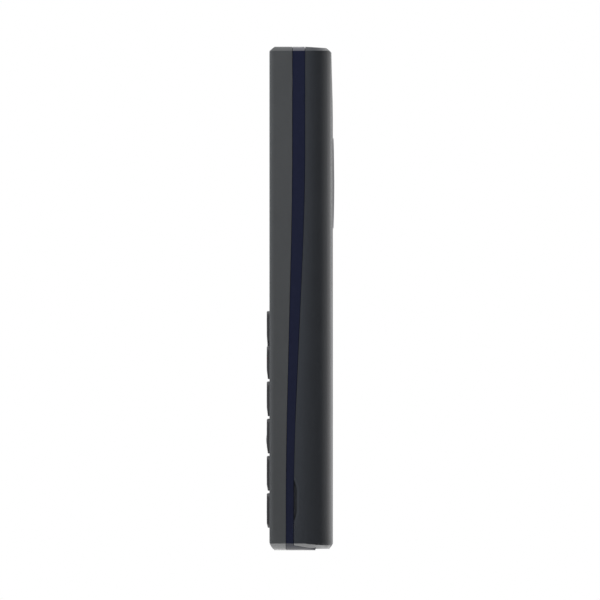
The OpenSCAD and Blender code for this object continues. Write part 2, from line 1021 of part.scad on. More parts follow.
// Cap of a key with a sloped lower edge, its middle at [x, z]
module key_cap(place, w, h, corner, rise, slope) {
    edge = 0.2;
    front = -rise;
    translate([place[0], 0, place[1]])
        intersection() {
            plate(front - join, cap_back)
                rounded(w, h, corner);
            across(w + over)
                polygon([
                    [cap_back + over, -h / 2 - over],
                    [front + key_slope * (1 + over / slope), -h / 2 - over],
                    [front, slope - h / 2],
                    [front, h / 2 - edge],
                    [front + edge + over, h / 2 + over],
                    [cap_back + over, h / 2 + over]
                ]);
            translate([0, 0, -h / 2 - over])
                linear_extrude(h + 2 * over)
                    polygon([
                        [-w / 2 - over, cap_back + over],
                        [-w / 2 - over, front + edge + over],
                        [-w / 2 + edge, front],
                        [w / 2 - edge, front],
                        [w / 2 + over, front + edge + over],
                        [w / 2 + over, cap_back + over]
                    ]);
        }
}

module key_stem(place) {
    depth_bar(stem_r, place[0], place[1], cap_back - join, stem_end);
}

// Number key, counted from the lower left
module number_key(index) {
    place = number_places[index];
    row = floor(index / columns);
    color("#2c2d2f") {
        key_cap(place, key_w, key_h, key_corner, key_rise, slope_length + slope_growth * row);
        key_stem(place);
        if (number_names[index] == "key_5")
            locating_nub(place);
    }
}

module locating_nub(place) {
    nub_r = 1.3;
    nub_low = 0.8;
    ball_r = (nub_r * nub_r + nub_h * nub_h) / (2 * nub_h);
    intersection() {
        translate([place[0], ball_r - key_rise - nub_h, place[1] - nub_low])
            sphere(ball_r);
        depth_bar(nub_r, place[0], place[1] - nub_low, -key_rise - over, join - key_rise);
    }
}

// Soft key, call key or end key
module soft_key(index) {
    color("#2c2d2f") {
        key_cap(
            soft_places[index], soft_key_w, soft_key_h, key_corner, key_rise,
            slope_length + slope_growth * (rows - 1)
        );
        key_stem(soft_places[index]);
    }
}

module select_key() {
    color("#26272a") {
        key_cap([0, nav_middle], select_w, select_h, key_corner, key_rise - select_drop, slope_length);
        key_stem([0, nav_middle]);
    }
}

// Ring round the select key, dished across its middle
module nav_ring() {
    edge = 0.3;
    dish = 2.2;
    slope = slope_length + slope_growth * (rows - 1);
    front = -key_rise;
    color("#2c2d2f")
        translate([0, 0, nav_middle]) {
            intersection() {
                plate(front - join, cap_back)
                    difference() {
                        rounded(nav_w, nav_h, ring_corner);
                        rounded(
                            select_w + 2 * ring_slack,
                            select_h + 2 * ring_slack,
                            key_corner + ring_slack
                        );
                    }
                across(nav_w + over)
                    polygon([
                        [cap_back + over, -nav_h / 2 - over],
                        [front + key_slope * (1 + over / slope), -nav_h / 2 - over],
                        [front, slope - nav_h / 2],
                        [front, -dish / 2],
                        [front + select_drop, 0],
                        [front, dish],
                        [front, nav_h / 2 - edge],
                        [front + edge + over, nav_h / 2 + over],
                        [cap_back + over, nav_h / 2 + over]
                    ]);
            }
            for (stem = ring_stems)
                for (side = [-1, 1])
                    depth_bar(ring_stem_r, side * stem[0], side * stem[1], cap_back - join, stem_end);
        }
}

// Frame under the ring: two ridges carry the ring and two side pins rest in the mat
pin_r = 0.25;
ring_room = 0.15;
pad_inset = 0.95;
pad_outer_w = nav_w - 2 * pad_inset;
pad_outer_h = nav_h - 2 * pad_inset;
pad_room = 0.15;
pad_inner_w = 2 * (ring_stems[0][0] + ring_stem_r + pad_room);
pad_inner_h = 2 * (ring_stems[1][1] + ring_stem_r + pad_room);
pin_seat = 0.4;
pin_d = pad_front + pad_t / 2;
pin_end = nav_w / 2 + ring_room + pin_seat;

module nav_pad() {
    color("dimgray")
        translate([0, 0, nav_middle]) {
            plate(pad_front, pad_front + pad_t)
                difference() {
                    square([pad_outer_w, pad_outer_h], center = true);
                    square([pad_inner_w, pad_inner_h], center = true);
                }
            for (z = [-pad_outer_h / 2, pad_inner_h / 2])
                translate([0, pad_front, z])
                    cylinder(h = (pad_outer_h - pad_inner_h) / 2, r = ridge_r);
            both_sides()
                translate([pad_outer_w / 2 - join, pin_d, 0])
                    rotate([0, 90, 0])
                        cylinder(h = pin_end - pad_outer_w / 2 + join, r = pin_r);
        }
}

module mat_outline() {
    translate([0, (keypad_z + nav_top) / 2])
        square([keypad_w + 2 * mat_margin, nav_top - keypad_z + 2 * mat_margin], center = true);
}

module key_mat() {
    mat_w = keypad_w + 2 * mat_margin;
    mat_h = nav_top - keypad_z + 2 * mat_margin;
    color("#3a3c40")
        difference() {
            union() {
                plate(mat_front, mat_back)
                    mat_outline();
                plate(mat_rim_front, board_front - film_t - seat)
                    difference() {
                        mat_outline();
                        translate([0, (keypad_z + nav_top) / 2])
                            square([mat_w - 2 * mat_rim, mat_h - 2 * mat_rim], center = true);
                    }
            }
            for (place = guided_stems)
                depth_bar(stem_r + slack, place[0], place[1], mat_front - join, mat_back + join);
            translate([0, 0, nav_middle])
                plate(mat_front - join, mat_back + join)
                    square([nav_w + 2 * ring_room, nav_h + 2 * ring_room], center = true);
            translate([-pin_end - slack, pin_d, nav_middle])
                rotate([0, 90, 0])
                    cylinder(h = 2 * (pin_end + slack), r = pin_r + slack);
            both_sides()
                box(
                    [nav_w / 2, mat_front - join, nav_middle - pin_r - slack],
                    [pin_end + slack, pin_d, nav_middle + pin_r + slack]
                );
        }
}

module dome_film() {
    color("khaki")
        difference() {
            plate(board_front - film_t, board_front)
                mat_outline();
            for (place = dome_places)
                depth_bar(dome_r + slack, place[0], place[1], board_front - 1, board_front + 1);
        }
}

module metal_domes() {
    dome_steps = 4;
    color("silver")
        for (place = dome_places)
            translate([place[0], board_front, place[1]])
                rotate([90, 0, 0])
                    rotate_extrude()
                        polygon(concat(
                            [[0, 0]],
                            [
                                for (i = [dome_steps:-1:0])
                                    let (share = i / dome_steps)
                                    [dome_r * share, dome_h * (1 - share * share)]
                            ]
                        ));
}

// Board and what it carries

module main_board() {
    board_w = body_w - 2 * board_margin;
    color("darkgreen")
        difference() {
            box([-board_w / 2, board_front, board_z0], [board_w / 2, board_back, board_z1]);
            at_bosses()
                depth_bar(boss_r + bay_slack, 0, 0, board_front - 1, board_back + 1);
        }
}

module shield_cans() {
    color("silver")
        both_sides()
            difference() {
                box([can_x[0], board_back, can_z[0]], [can_x[1], deck_front - bay_slack / 2, can_z[1]]);
                box(
                    [can_x[0] + can_wall, board_back - 1, can_z[0] + can_wall],
                    [can_x[1] - can_wall, deck_front - bay_slack / 2 - can_wall, can_z[1] - can_wall]
                );
            }
}

// Card socket: a flat metal box with a slot that opens towards the lower end
module card_socket(x, z, w, h) {
    back = board_back + socket_box_t;
    difference() {
        box([x - w / 2, board_back, z - h / 2], [x + w / 2, back, z + h / 2]);
        box(
            [x - w / 2 + can_wall, board_back + can_wall, z - h / 2 - 1],
            [x + w / 2 - can_wall, back - can_wall, z + h / 2 - 1]
        );
        translate([x, 0, z])
            plate(back - 2 * can_wall, back + 1)
                square([w / 2, h / 2], center = true);
    }
}

module sim_sockets() {
    color("lightgray")
        both_sides()
            card_socket(sim_size[0] / 2 + sim_gap, sim_z, sim_size[0], sim_size[1]);
}

module memory_card_socket() {
    color("lightgray")
        card_socket(0, card_z, card_size[0], card_size[1]);
}

module battery() {
    color("gray")
        translate([0, 0, battery_z + battery_h / 2])
            plate(battery_front, battery_front + battery_t)
                rounded(battery_w, battery_h, battery_corner);
}

module contact_block() {
    color("black")
        box(
            [-contact_w / 2, board_back + seat, contact_z0],
            [contact_w / 2, contact_back, contact_z0 + contact_h]
        );
}

module contact_blades() {
    color("gold")
        for (i = [-1:1])
            box(
                [i * blade_pitch - blade_w / 2, battery_front + blade_l, battery_z1 + seat],
                [i * blade_pitch + blade_w / 2, contact_back - blade_l, contact_z0]
            );
}

module charging_socket() {
    half = socket_w / 2;
    back = socket_d0 + socket_t;
    end = socket_mouth + socket_l;
    foot = 1.2;
    foot_l = 3;
    color("silver") {
        difference() {
            box([-half, socket_d0, socket_mouth], [half, back, end]);
            box(
                [socket_wall - half, socket_d0 + socket_wall, -1],
                [half - socket_wall, back - socket_wall, end - socket_wall]
            );
        }
        both_sides()
            box([half - foot, board_back + seat, end - foot_l], [half, socket_d0 + socket_wall / 2, end]);
    }
}

module charging_tongue() {
    tongue_w = 4;
    tongue_t = 0.6;
    color("black")
        translate([0, socket_d, 0])
            box(
                [-tongue_w / 2, -tongue_t / 2, socket_mouth + 1],
                [tongue_w / 2, tongue_t / 2, socket_mouth + socket_l - socket_wall]
            );
}

module headset_jack() {
    color("black")
        difference() {
            union() {
                translate([jack_x, jack_d, jack_mouth])
                    cylinder(h = side_wall + 1, r = jack_nose_r);
                box(
                    [jack_x - jack_w / 2, jack_d - jack_nose_r - jack_sole, side_wall + seat],
                    [jack_x + jack_w / 2, jack_d + jack_nose_r, jack_end]
                );
            }
            translate([jack_x, jack_d, -over])
                cylinder(h = over + jack_mouth + jack_bore_l, r = jack_r);
        }
}

module microphone() {
    mic_w = 3.4;
    mic_h = 2.4;
    color("silver")
        difference() {
            box(
                [mic_x - mic_w / 2, board_back + seat, side_wall + mic_gap],
                [mic_x + mic_w / 2, mic_d + mic_lift, side_wall + mic_gap + mic_h]
            );
            translate([mic_x, mic_d, 0])
                cylinder(h = side_wall + 1, r = mic_r / 2);
        }
}

// Sound, light and radio at the top

module loudspeaker() {
    cone_r = 4;
    cap_r = 1.8;
    well = 0.7;
    back = deck_back + seat + speaker_t;
    color("black")
        difference() {
            translate([speaker_x, 0, speaker_z])
                plate(deck_back + seat, back)
                    rounded(speaker_w, speaker_h, speaker_corner);
            difference() {
                depth_bar(cone_r, speaker_x, speaker_z, back - well, back + 1);
                depth_bar(cap_r, speaker_x, speaker_z, back - 1, back - well / 2);
            }
        }
}

// Outline of the loudspeaker, drawn in by inset
module speaker_outline(inset, corner) {
    rounded(speaker_w - 2 * inset, speaker_h - 2 * inset, corner);
}

module speaker_gasket() {
    color("dimgray")
        translate([speaker_x, 0, speaker_z])
            plate(deck_back + 2 * seat + speaker_t, speaker_mesh_d - slack)
                difference() {
                    speaker_outline(gasket_inset, speaker_corner);
                    speaker_outline(gasket_inset + gasket_wall, speaker_corner / 2);
                }
}

module speaker_mesh() {
    color("black")
        translate([speaker_x, 0, speaker_z])
            plate(speaker_mesh_d, speaker_mesh_d + speaker_mesh_t)
                speaker_outline(2 * gasket_inset, speaker_corner);
}

// Round bar across the phone on the motor's axis
module motor_bar(r, x0, x1) {
    translate([x0, motor_d, motor_z])
        rotate([0, 90, 0])
            cylinder(h = x1 - x0, r = r);
}

module vibration_motor() {
    end = motor_x + motor_l;
    color("silver")
        difference() {
            motor_bar(motor_r, motor_x, end);
            motor_bar(shaft_r + slack, end - motor_l / 2, end + 1);
        }
}

// Half weight on its shaft, hanging down at rest
module vibration_weight() {
    start = motor_x + motor_l + weight_gap;
    weight_r = motor_r - slack;
    color("gray") {
        motor_bar(shaft_r, start - weight_gap - 2, start + weight_l);
        difference() {
            motor_bar(weight_r, start, start + weight_l);
            box(
                [start - 1, motor_d - over, motor_z + shaft_r],
                [start + weight_l + 1, motor_d + over, motor_z + over]
            );
        }
    }
}

module torch_led() {
    color("ivory")
        box(
            [-torch_led_w / 2, board_back + seat, torch_z0 - torch_led_h - slack],
            [torch_led_w / 2, torch_d + torch_r, torch_z0 - slack]
        );
}

module torch_lens() {
    color("white")
        translate([0, torch_d, torch_z0])
            cylinder(h = body_h - seat - torch_z0, r = torch_r);
}

module antenna() {
    antenna_w = 32;
    antenna_t = 0.3;
    antenna_top = body_h - rim_inset - rim_wall - top_slope / 2 - seat;
    color("goldenrod")
        box(
            [-antenna_w / 2, torch_d + torch_r + slack + bay_slack, antenna_top - antenna_t],
            [antenna_w / 2, rim_depth - join, antenna_top]
        );
}

module housing_screws() {
    cross_w = 0.3;
    cross_l = 1.4;
    head_front = deck_back + seat / 2;
    color("silver")
        at_bosses()
            difference() {
                union() {
                    depth_bar(head_r, 0, 0, head_front, head_front + head_t);
                    depth_bar(screw_r, 0, 0, deck_back - screw_l, head_front + join);
                }
                for (turn = [0, 90])
                    rotate([0, turn, 0])
                        translate([0, head_front + head_t, 0])
                            cube([cross_l, head_t, cross_w], center = true);
            }
}

// Each piece in its place

placed() front_housing();
placed() middle_frame();
placed() back_cover();
placed() display_window();
placed() lcd_panel();
placed() lcd_backlight();
placed() lcd_frame();
placed() key_mat();
placed() dome_film();
placed() metal_domes();
placed() main_board();
placed() shield_cans();
placed() sim_sockets();
placed() memory_card_socket();
placed() battery();
placed() contact_block();
placed() contact_blades();
placed() charging_socket();
placed() charging_tongue();
placed() headset_jack();
placed() microphone();
placed() earpiece();
placed() earpiece_mesh();
placed() loudspeaker();
placed() speaker_gasket();
placed() speaker_mesh();
placed() vibration_motor();
placed() vibration_weight();
placed() torch_led();
placed() torch_lens();
placed() camera_module();
placed() camera_island();
placed() camera_window();
placed() flash_led();
placed() flash_window();
placed() antenna();
placed() housing_screws();
placed() nav_pad();
placed() nav_ring();
placed() select_key();
placed() soft_key(0);  // left_soft_key
placed() soft_key(1);  // right_soft_key
placed() soft_key(2);  // call_key
placed() soft_key(3);  // end_key
for (i = [0:len(number_names) - 1])
    placed() number_key(i);
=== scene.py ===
# %% [markdown]
# A bar phone, dressed in Blender
#
# The CAD model already has every solid of the phone in its right place, in metres. This lesson gives those
# solids the finish of the real thing: softened mouldings, printed keys, a glass window and a lit studio.
# Each step says what the piece is on a real phone, how it could be made, and why it is made this way here.

# %% Load the CAD frame
import json
import math

import bmesh
import bpy
from mathutils import Matrix, Vector


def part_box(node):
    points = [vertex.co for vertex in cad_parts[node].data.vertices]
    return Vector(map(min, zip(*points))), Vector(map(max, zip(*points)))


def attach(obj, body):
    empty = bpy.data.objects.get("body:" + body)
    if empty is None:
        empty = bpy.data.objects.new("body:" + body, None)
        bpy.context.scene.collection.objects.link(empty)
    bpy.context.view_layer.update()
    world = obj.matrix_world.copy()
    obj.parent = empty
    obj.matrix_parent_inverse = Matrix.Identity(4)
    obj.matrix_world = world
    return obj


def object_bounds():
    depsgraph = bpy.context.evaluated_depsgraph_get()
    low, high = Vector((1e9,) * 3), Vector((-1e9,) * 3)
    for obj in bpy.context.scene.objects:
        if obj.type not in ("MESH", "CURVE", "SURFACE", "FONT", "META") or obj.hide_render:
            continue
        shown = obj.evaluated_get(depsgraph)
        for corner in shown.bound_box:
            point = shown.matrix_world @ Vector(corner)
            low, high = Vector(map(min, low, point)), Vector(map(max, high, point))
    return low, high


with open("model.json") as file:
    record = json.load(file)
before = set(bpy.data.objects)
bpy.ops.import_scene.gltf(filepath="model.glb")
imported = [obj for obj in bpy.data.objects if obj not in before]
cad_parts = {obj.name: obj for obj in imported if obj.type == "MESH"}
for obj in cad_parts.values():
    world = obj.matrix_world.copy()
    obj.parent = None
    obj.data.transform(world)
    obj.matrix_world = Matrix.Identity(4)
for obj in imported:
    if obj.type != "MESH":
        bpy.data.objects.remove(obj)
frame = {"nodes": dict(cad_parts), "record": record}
nodes = frame["nodes"]
cad_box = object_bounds()
MM = 0.001

# %% [markdown]
# The camera
#
# The photograph looks straight at the phone's right side from far away, so lines along its depth don't
# converge. A long lens would come close, but an orthographic camera gives exactly that view. Its scale is the
# height of the photograph in real millimetres.

# %% Camera
PHOTO_PIXELS = 600
MM_PER_PIXEL = 0.2284
AIM = Vector((0, -0.07, 57.15)) * MM
CAMERA_DISTANCE = 0.5

camera_data = bpy.data.cameras.new("side_camera")
camera_data.type = "ORTHO"
camera_data.ortho_scale = PHOTO_PIXELS * MM_PER_PIXEL * MM
camera = bpy.data.objects.new("side_camera", camera_data)
camera.location = AIM + Vector((CAMERA_DISTANCE, 0, 0))
camera.rotation_euler = (math.radians(90), 0, math.radians(90))
bpy.context.scene.collection.objects.link(camera)
bpy.context.scene.camera = camera
bpy.context.scene.view_settings.view_transform = "Standard"
print("camera frame:", round(camera_data.ortho_scale, 4), "m")

# %% [markdown]
# Writing shaders as sums
#
# A finish is a small calculation: colour here, roughness there, a little bump. Nodes can be wired by hand, but
# a calculation reads best as an expression. A Wire stands for one output socket, and each operator on it adds
# the Math node that does the same. Every other node comes from one method of the sheet it lies on.


# %% Wires and sheets
class Wire:
    """One output socket, with Python's operators for the Math nodes."""

    def __init__(self, sheet, socket):
        self.sheet = sheet
        self.socket = socket

    def math(self, operation, first, second=0.0):
        return self.sheet.node("ShaderNodeMath", {"operation": operation}, {0: first, 1: second})

    def __add__(self, other):
        return self.math("ADD", self, other)

    def __radd__(self, other):
        return self.math("ADD", other, self)

    def __sub__(self, other):
        return self.math("SUBTRACT", self, other)

    def __rsub__(self, other):
        return self.math("SUBTRACT", other, self)

    def __mul__(self, other):
        return self.math("MULTIPLY", self, other)

    def __rmul__(self, other):
        return self.math("MULTIPLY", other, self)

    def __truediv__(self, other):
        return self.math("DIVIDE", self, other)

    def __gt__(self, other):
        return self.math("GREATER_THAN", self, other)

    def __lt__(self, other):
        return self.math("LESS_THAN", self, other)

    def __abs__(self):
        return self.math("ABSOLUTE", self)


class Sheet:
    """The node tree of one material or of the world."""

    def __init__(self, owner):
        owner.use_nodes = True
        self.tree = owner.node_tree
        self.tree.nodes.clear()

    def node(self, kind, settings=None, inputs=None, output=0):
        made = self.tree.nodes.new(kind)
        for name, value in (settings or {}).items():
            if name == "stops":
                self.set_stops(made.color_ramp, value)
            else:
                setattr(made, name, value)
        for key, value in (inputs or {}).items():
            if isinstance(value, Wire):
                self.tree.links.new(value.socket, made.inputs[key])
            else:
                made.inputs[key].default_value = value
        return Wire(self, made.outputs[output]) if made.outputs else made

    @staticmethod
    def set_stops(ramp, stops):
        while len(ramp.elements) > 1:
            ramp.elements.remove(ramp.elements[-1])
        ramp.elements[0].position, ramp.elements[0].color = stops[0]
        for position, colour in stops[1:]:
            ramp.elements.new(position).color = colour

    def ramp(self, value, low, high):
        """0 below low, 1 above high and a soft step between them."""
        settings = {"interpolation_type": "SMOOTHSTEP"}
        return self.node("ShaderNodeMapRange", settings, {"Value": value, "From Min": low, "From Max": high})

    def mix(self, share, first, second):
        """A blend of two colours."""
        return self.node("ShaderNodeMix", {"data_type": "RGBA"}, {0: share, 6: first, 7: second}, 2)

    def place(self):
        """The point's X, Y and Z in metres, on the piece itself."""
        point = self.node("ShaderNodeTexCoord", output="Object")
        return [self.node("ShaderNodeSeparateXYZ", None, {0: point}, axis) for axis in range(3)]

    def noise(self, size, detail=2.0, stretch=None):
        """Cloudy noise whose blobs are about size metres across, drawn out along the axes of stretch."""
        point = self.node("ShaderNodeTexCoord", output="Object")
        if stretch:
            settings = {"operation": "MULTIPLY"}
            point = self.node("ShaderNodeVectorMath", settings, {0: point, 1: stretch})
        return self.node("ShaderNodeTexNoise", None, {"Vector": point, "Scale": 1 / size, "Detail": detail})

    def root(self, value):
        return self.node("ShaderNodeMath", {"operation": "SQRT"}, {0: value})

    def bump(self, height, depth):
        """A normal that follows height, which is depth metres high at 1."""
        return self.node("ShaderNodeBump", None, {"Height": height, "Distance": depth})

    def surface(self, **inputs):
        """A Principled shader on the output, with sockets named in plain letters."""
        named = {name.replace("_", " "): value for name, value in inputs.items()}
        shader = self.node("ShaderNodeBsdfPrincipled", None, named)
        self.node("ShaderNodeOutputMaterial", None, {"Surface": shader})


def paint(red, green, blue):
    """A colour from the 0 to 255 values of a paint chart, in the linear light that shaders use."""
    parts = [value / 255 for value in (red, green, blue)]
    return (*[p / 12.92 if p <= 0.04045 else ((p + 0.055) / 1.055) ** 2.4 for p in parts], 1.0)


def brighter(colour, share):
    return (*[min(1.0, part * share) for part in colour[:3]], 1.0)


finishes = {}


def new_finish(name):
    finishes[name] = bpy.data.materials.new(name)
    return Sheet(finishes[name])


print("shader tools ready")

# %% [markdown]
# The studio
#
# A small product is often shot on a white table, with a white sheet behind it and a dark room on the
# photographer's side. That is why the flat side of the phone is dark while its turned rear edge is bright. The
# world does the same: it is plain white to the camera, and reflections see white behind the phone and grey in
# front of it. Three lamps give the light, and they are hidden from reflections because a round lamp would show
# as a bright disc on a flat glossy face. The table mirrors the same room, apart from a white patch beside the
# phone's foot, which lights the bevels from below.

# %% The white room
ROOM_LIGHT = 0.2
KEYS_LOOK = (0.1, 0.5)
CEILING = (0.35, 0.8)
# What a reflection meets, from the far side of the room to the camera's side
ROOM_GLOSS = [
    (0.0, 0.4), (0.015, 0.66), (0.06, 1.4), (0.185, 1.17), (0.295, 0.88), (0.405, 0.6), (0.5, 0.42),
    (0.585, 0.26), (0.665, 0.12), (0.75, 0.1),
]
gloss_stops = [(position, (grey, grey, grey, 1)) for position, grey in ROOM_GLOSS]


def mirror_level(sheet, towards_camera, rearward):
    """Brightness of the room in a mirror, for a direction over the table. It is dark where the keys look."""
    level = sheet.node("ShaderNodeValToRGB", {"stops": gloss_stops}, {0: towards_camera * 0.5 + 0.5})
    return level * (1 - 0.85 * sheet.ramp(rearward * -1, *KEYS_LOOK))


world = bpy.data.worlds.new("white_room")
world.cycles.sampling_method = "NONE"
bpy.context.scene.world = world
room = Sheet(world)
looking = room.node("ShaderNodeTexCoord", output="Generated")
towards_camera, rearward, upward = [
    room.node("ShaderNodeSeparateXYZ", None, {0: looking}, axis) for axis in range(3)
]
is_camera = room.node("ShaderNodeLightPath", output="Is Camera Ray")
is_mirrored = room.node("ShaderNodeLightPath", output="Is Glossy Ray")
is_through = room.node("ShaderNodeLightPath", output="Is Transmission Ray")
walls = mirror_level(room, towards_camera, rearward)
ceiling = room.ramp(abs(upward), *CEILING)
seen_in_gloss = walls + (1 - walls) * ceiling
bounces = room.node("ShaderNodeLightPath", output="Diffuse Depth") + room.node(
    "ShaderNodeLightPath", output="Glossy Depth"
)
direct = is_camera + is_through * (1 - is_camera) * (bounces < 0.5)
strength = direct + (1 - direct) * (is_mirrored * seen_in_gloss + (1 - is_mirrored) * ROOM_LIGHT)
sky = room.node("ShaderNodeBackground", None, {"Color": strength})
room.node("ShaderNodeOutputWorld", None, {"Surface": sky})
print("room: a mirror scale of", len(ROOM_GLOSS), "steps")


# %% Lamps
def lamp(name, place, aim, size, power):
    data = bpy.data.lights.new(name, "AREA")
    data.shape = "DISK"
    data.size = size
    data.energy = power
    made = bpy.data.objects.new(name, data)
    made.location = place
    made.rotation_euler = (Vector(aim) - Vector(place)).to_track_quat("-Z", "Y").to_euler()
    made.visible_glossy = False
    bpy.context.scene.collection.objects.link(made)


# Each lamp's place in metres, its width in metres and its power in watts
LAMPS = {
    "key_lamp": ((0.3, -0.28, 0.38), 0.3, 2.45),
    "left_lamp": ((-0.4, -0.3, 0.25), 0.4, 0.9),
    "rear_lamp": ((-0.3, 0.5, 0.3), 0.4, 1.3),
}
for name, (place, size, power) in LAMPS.items():
    lamp(name, place, AIM, size, power)
print("lamps:", len(LAMPS))

# %% Table
FLOOR_SIZE = 6.0
FLOOR_DROP = 0.02 * MM
TABLE_GREY = 0.65
# The table is lit less far away, so to the camera it glows more there
GLOW, FAR_GLOW, GLOW_REACH = 0.5, 0.4, (0.1, 1.1)
# The white patch that the foot's bevels mirror ends beside and before the phone
PATCH_LEVEL = 1.65
PATCH_SIDE = (0.026, 0.03)
PATCH_DEPTH = (0.008, 0.017)
PATCH_MIDDLE = 5 * MM

floor_mesh = bpy.data.meshes.new("floor")
corners = [(-1, -1), (1, -1), (1, 1), (-1, 1)]
floor_mesh.from_pydata([(x * FLOOR_SIZE, y * FLOOR_SIZE, -FLOOR_DROP) for x, y in corners], [], [(0, 1, 2, 3)])
floor = bpy.data.objects.new("floor", floor_mesh)
bpy.context.scene.collection.objects.link(floor)
table = new_finish("white_table")
seen = table.node("ShaderNodeLightPath", output="Is Camera Ray")
mirrored = table.node("ShaderNodeLightPath", output="Is Glossy Ray")
matte = table.node("ShaderNodeBsdfDiffuse", None, {"Color": (TABLE_GREY, TABLE_GREY, TABLE_GREY, 1)})
x, y, _ = table.place()
reach = table.root(x * x + y * y + MM * MM)
glow = seen * (GLOW + FAR_GLOW * table.ramp(reach, *GLOW_REACH))
lift = table.node("ShaderNodeEmission", None, {"Color": glow})
lit = table.node("ShaderNodeAddShader", None, {0: matte, 1: lift})
beside = table.ramp(abs(x), *PATCH_SIDE)
before = table.ramp(abs(y + PATCH_MIDDLE), *PATCH_DEPTH)
away = beside + before - beside * before
far = mirror_level(table, x / reach, y / reach)
patch = PATCH_LEVEL + (far - PATCH_LEVEL) * away
white = table.node("ShaderNodeEmission", None, {"Color": patch})
top = table.node("ShaderNodeMixShader", None, {0: mirrored, 1: lit, 2: white})
table.node("ShaderNodeOutputMaterial", None, {"Surface": top})
floor_mesh.materials.append(finishes["white_table"])
print("table:", 2 * FLOOR_SIZE, "m wide")

# %% [markdown]
# Moulded plastic
#
# The housing, the frame, the cover and the keys are injection mouldings. Their tools are spark eroded, so the
# plastic comes out with a fine even grain, and handling polishes it in patches. One function makes them all:
# grain as bump, slow clouds for the uneven sheen, and a lighter colour in listed places: painted highlights
# along edges, and painted light in the cover's notch.

# %% Moulded plastic
COVER_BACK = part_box("back_cover")[1].y
BODY_TOP = cad_box[1].z
# Where the end bevels begin, and how softly their polish sets in
FOOT_EDGE = 1.53 * MM
TOP_EDGE = BODY_TOP - 0.92 * MM
EDGE_OUT, EDGE_IN = 0.02 * MM, 0.04 * MM
# The polish of the foot fades over this depth towards the back
FOOT_FADE = (COVER_BACK - 2.55 * MM, COVER_BACK - 1.25 * MM)


def moulded(name, colour, roughness, grain, grain_depth, gloss=0.5, polish=(0, 0), wear_and_light=()):
    """Grain is the size of the texture in metres. Polish is how far the bevels of the foot and of the top end
    shine. Wear_and_light lists places: a function that gives their mask on the sheet, how much lighter they
    are painted, as painted highlight and painted light, and how much rougher."""
    sheet = new_finish(name)
    cloud = sheet.noise(9 * MM, 3.0)
    speckle = sheet.noise(grain * 2.5, 2.0)
    shade = sheet.mix(cloud, brighter(colour, 0.9), brighter(colour, 1.1))
    shade = sheet.mix(speckle * 0.35, shade, brighter(colour, 1.12))
    matt = roughness - 0.05 + cloud * 0.1
    # Each listed mask blends in a lighter colour as painted light, and changes the roughness as wear
    for mask, lightness, rougher in wear_and_light:
        marked = mask(sheet)
        shade = sheet.mix(marked * 0.55, shade, brighter(colour, lightness))
        matt = matt + marked * rougher
    shine = {}
    if any(polish):
        _, y, z = sheet.place()
        foot = 1 - sheet.ramp(z, FOOT_EDGE - EDGE_IN, FOOT_EDGE + EDGE_OUT)
        top = sheet.ramp(z, TOP_EDGE - EDGE_OUT, TOP_EDGE + EDGE_IN) * (z < BODY_TOP - EDGE_OUT)
        foot = foot * (1 - 0.85 * sheet.ramp(y, *FOOT_FADE))
        coat = foot * polish[0] + top * polish[1]
        matt = matt - coat * 0.1
        shine = {"Coat_Weight": coat, "Coat_Roughness": 0.15, "Coat_IOR": 1.6}
    pits = sheet.noise(grain, 1.0)
    sheet.surface(
        Base_Color=shade,
        Roughness=matt,
        Specular_IOR_Level=gloss,
        Normal=sheet.bump(pits, grain_depth),
        **shine,
    )
    print("plastic:", name)


# %% [markdown]
# Where the plastic is painted lighter
#
# Wear and light could be painted by hand, but they follow places that the CAD already names: an edge, a seam, a
# key's side. So each such place is a mask, a small calculation on the point's own position: 1 there and 0
# elsewhere. The housing's front edges and the keys' sides get a painted highlight, a lighter colour than the
# rest.

# %% Painted highlights on the housing and the keys
HALF_WIDTH = cad_box[1].x
FRONT_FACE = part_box("front_housing")[0].y
EDGE_HIGHLIGHT_SIDE = (HALF_WIDTH - 0.8 * MM, HALF_WIDTH - 0.1 * MM)
EDGE_HIGHLIGHT_DEPTH = (-FRONT_FACE - 1.3 * MM, -FRONT_FACE - 0.1 * MM)
KEY_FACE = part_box("key_4")[0].y
SIDE_HIGHLIGHT_START = (KEY_FACE + 0.06 * MM, KEY_FACE + 0.16 * MM)


def front_edge_highlight(sheet):
    """Painted highlight along the two long front edges, fading over the side."""
    x, y, _ = sheet.place()
    return sheet.ramp(abs(x), *EDGE_HIGHLIGHT_SIDE) * sheet.ramp(y * -1, *EDGE_HIGHLIGHT_DEPTH)


def key_side_highlight(sheet):
    """The sides of the keys, painted lighter as a highlight below their faces."""
    return sheet.ramp(sheet.place()[1], *SIDE_HIGHLIGHT_START)


print("masks: front edges and key sides")

# %% [markdown]
# Wear and painted light on the cover
#
# The cover is the piece that is handled most. It is polished beside its seam and painted lighter there as a
# highlight, and it is dulled at its top end by a pocket and at its rear edges by the palm. Its pry notch gets
# painted light on its floor against the seam, where the frame's edge shades it, and a painted highlight along
# its lip. The seam and the notch are curves in the CAD, so their masks work out the same curves again.

# %% Wear and painted light on the cover
SEAM_SWEEP = (10 * MM, 92 * MM)
REAR_SEAM = (5.53 * MM, 8.12 * MM)
NOTCH_Z = 11.35 * MM
NOTCH_DEPTH = 0.75 * MM
NOTCH_HALVES = (2.75 * MM, 5.15 * MM)
NOTCH_LIP = 0.45 * MM
NOTCH_LIGHT_REACH = (-0.6 * MM, -0.1 * MM)
SEAM_POLISH_AND_HIGHLIGHT = (-0.5 * MM, 3.4 * MM)
POCKET = (COVER_BACK - 4.75 * MM, COVER_BACK)
REAR_EDGE = (COVER_BACK - 0.85 * MM, COVER_BACK - 0.45 * MM)
PALM = (35 * MM, 95 * MM)


def behind_seam(sheet):
    """How far a point of the cover lies behind its seam, in metres."""
    _, y, z = sheet.place()
    return y - FRONT_FACE - REAR_SEAM[0] - (REAR_SEAM[1] - REAR_SEAM[0]) * sheet.ramp(z, *SEAM_SWEEP)


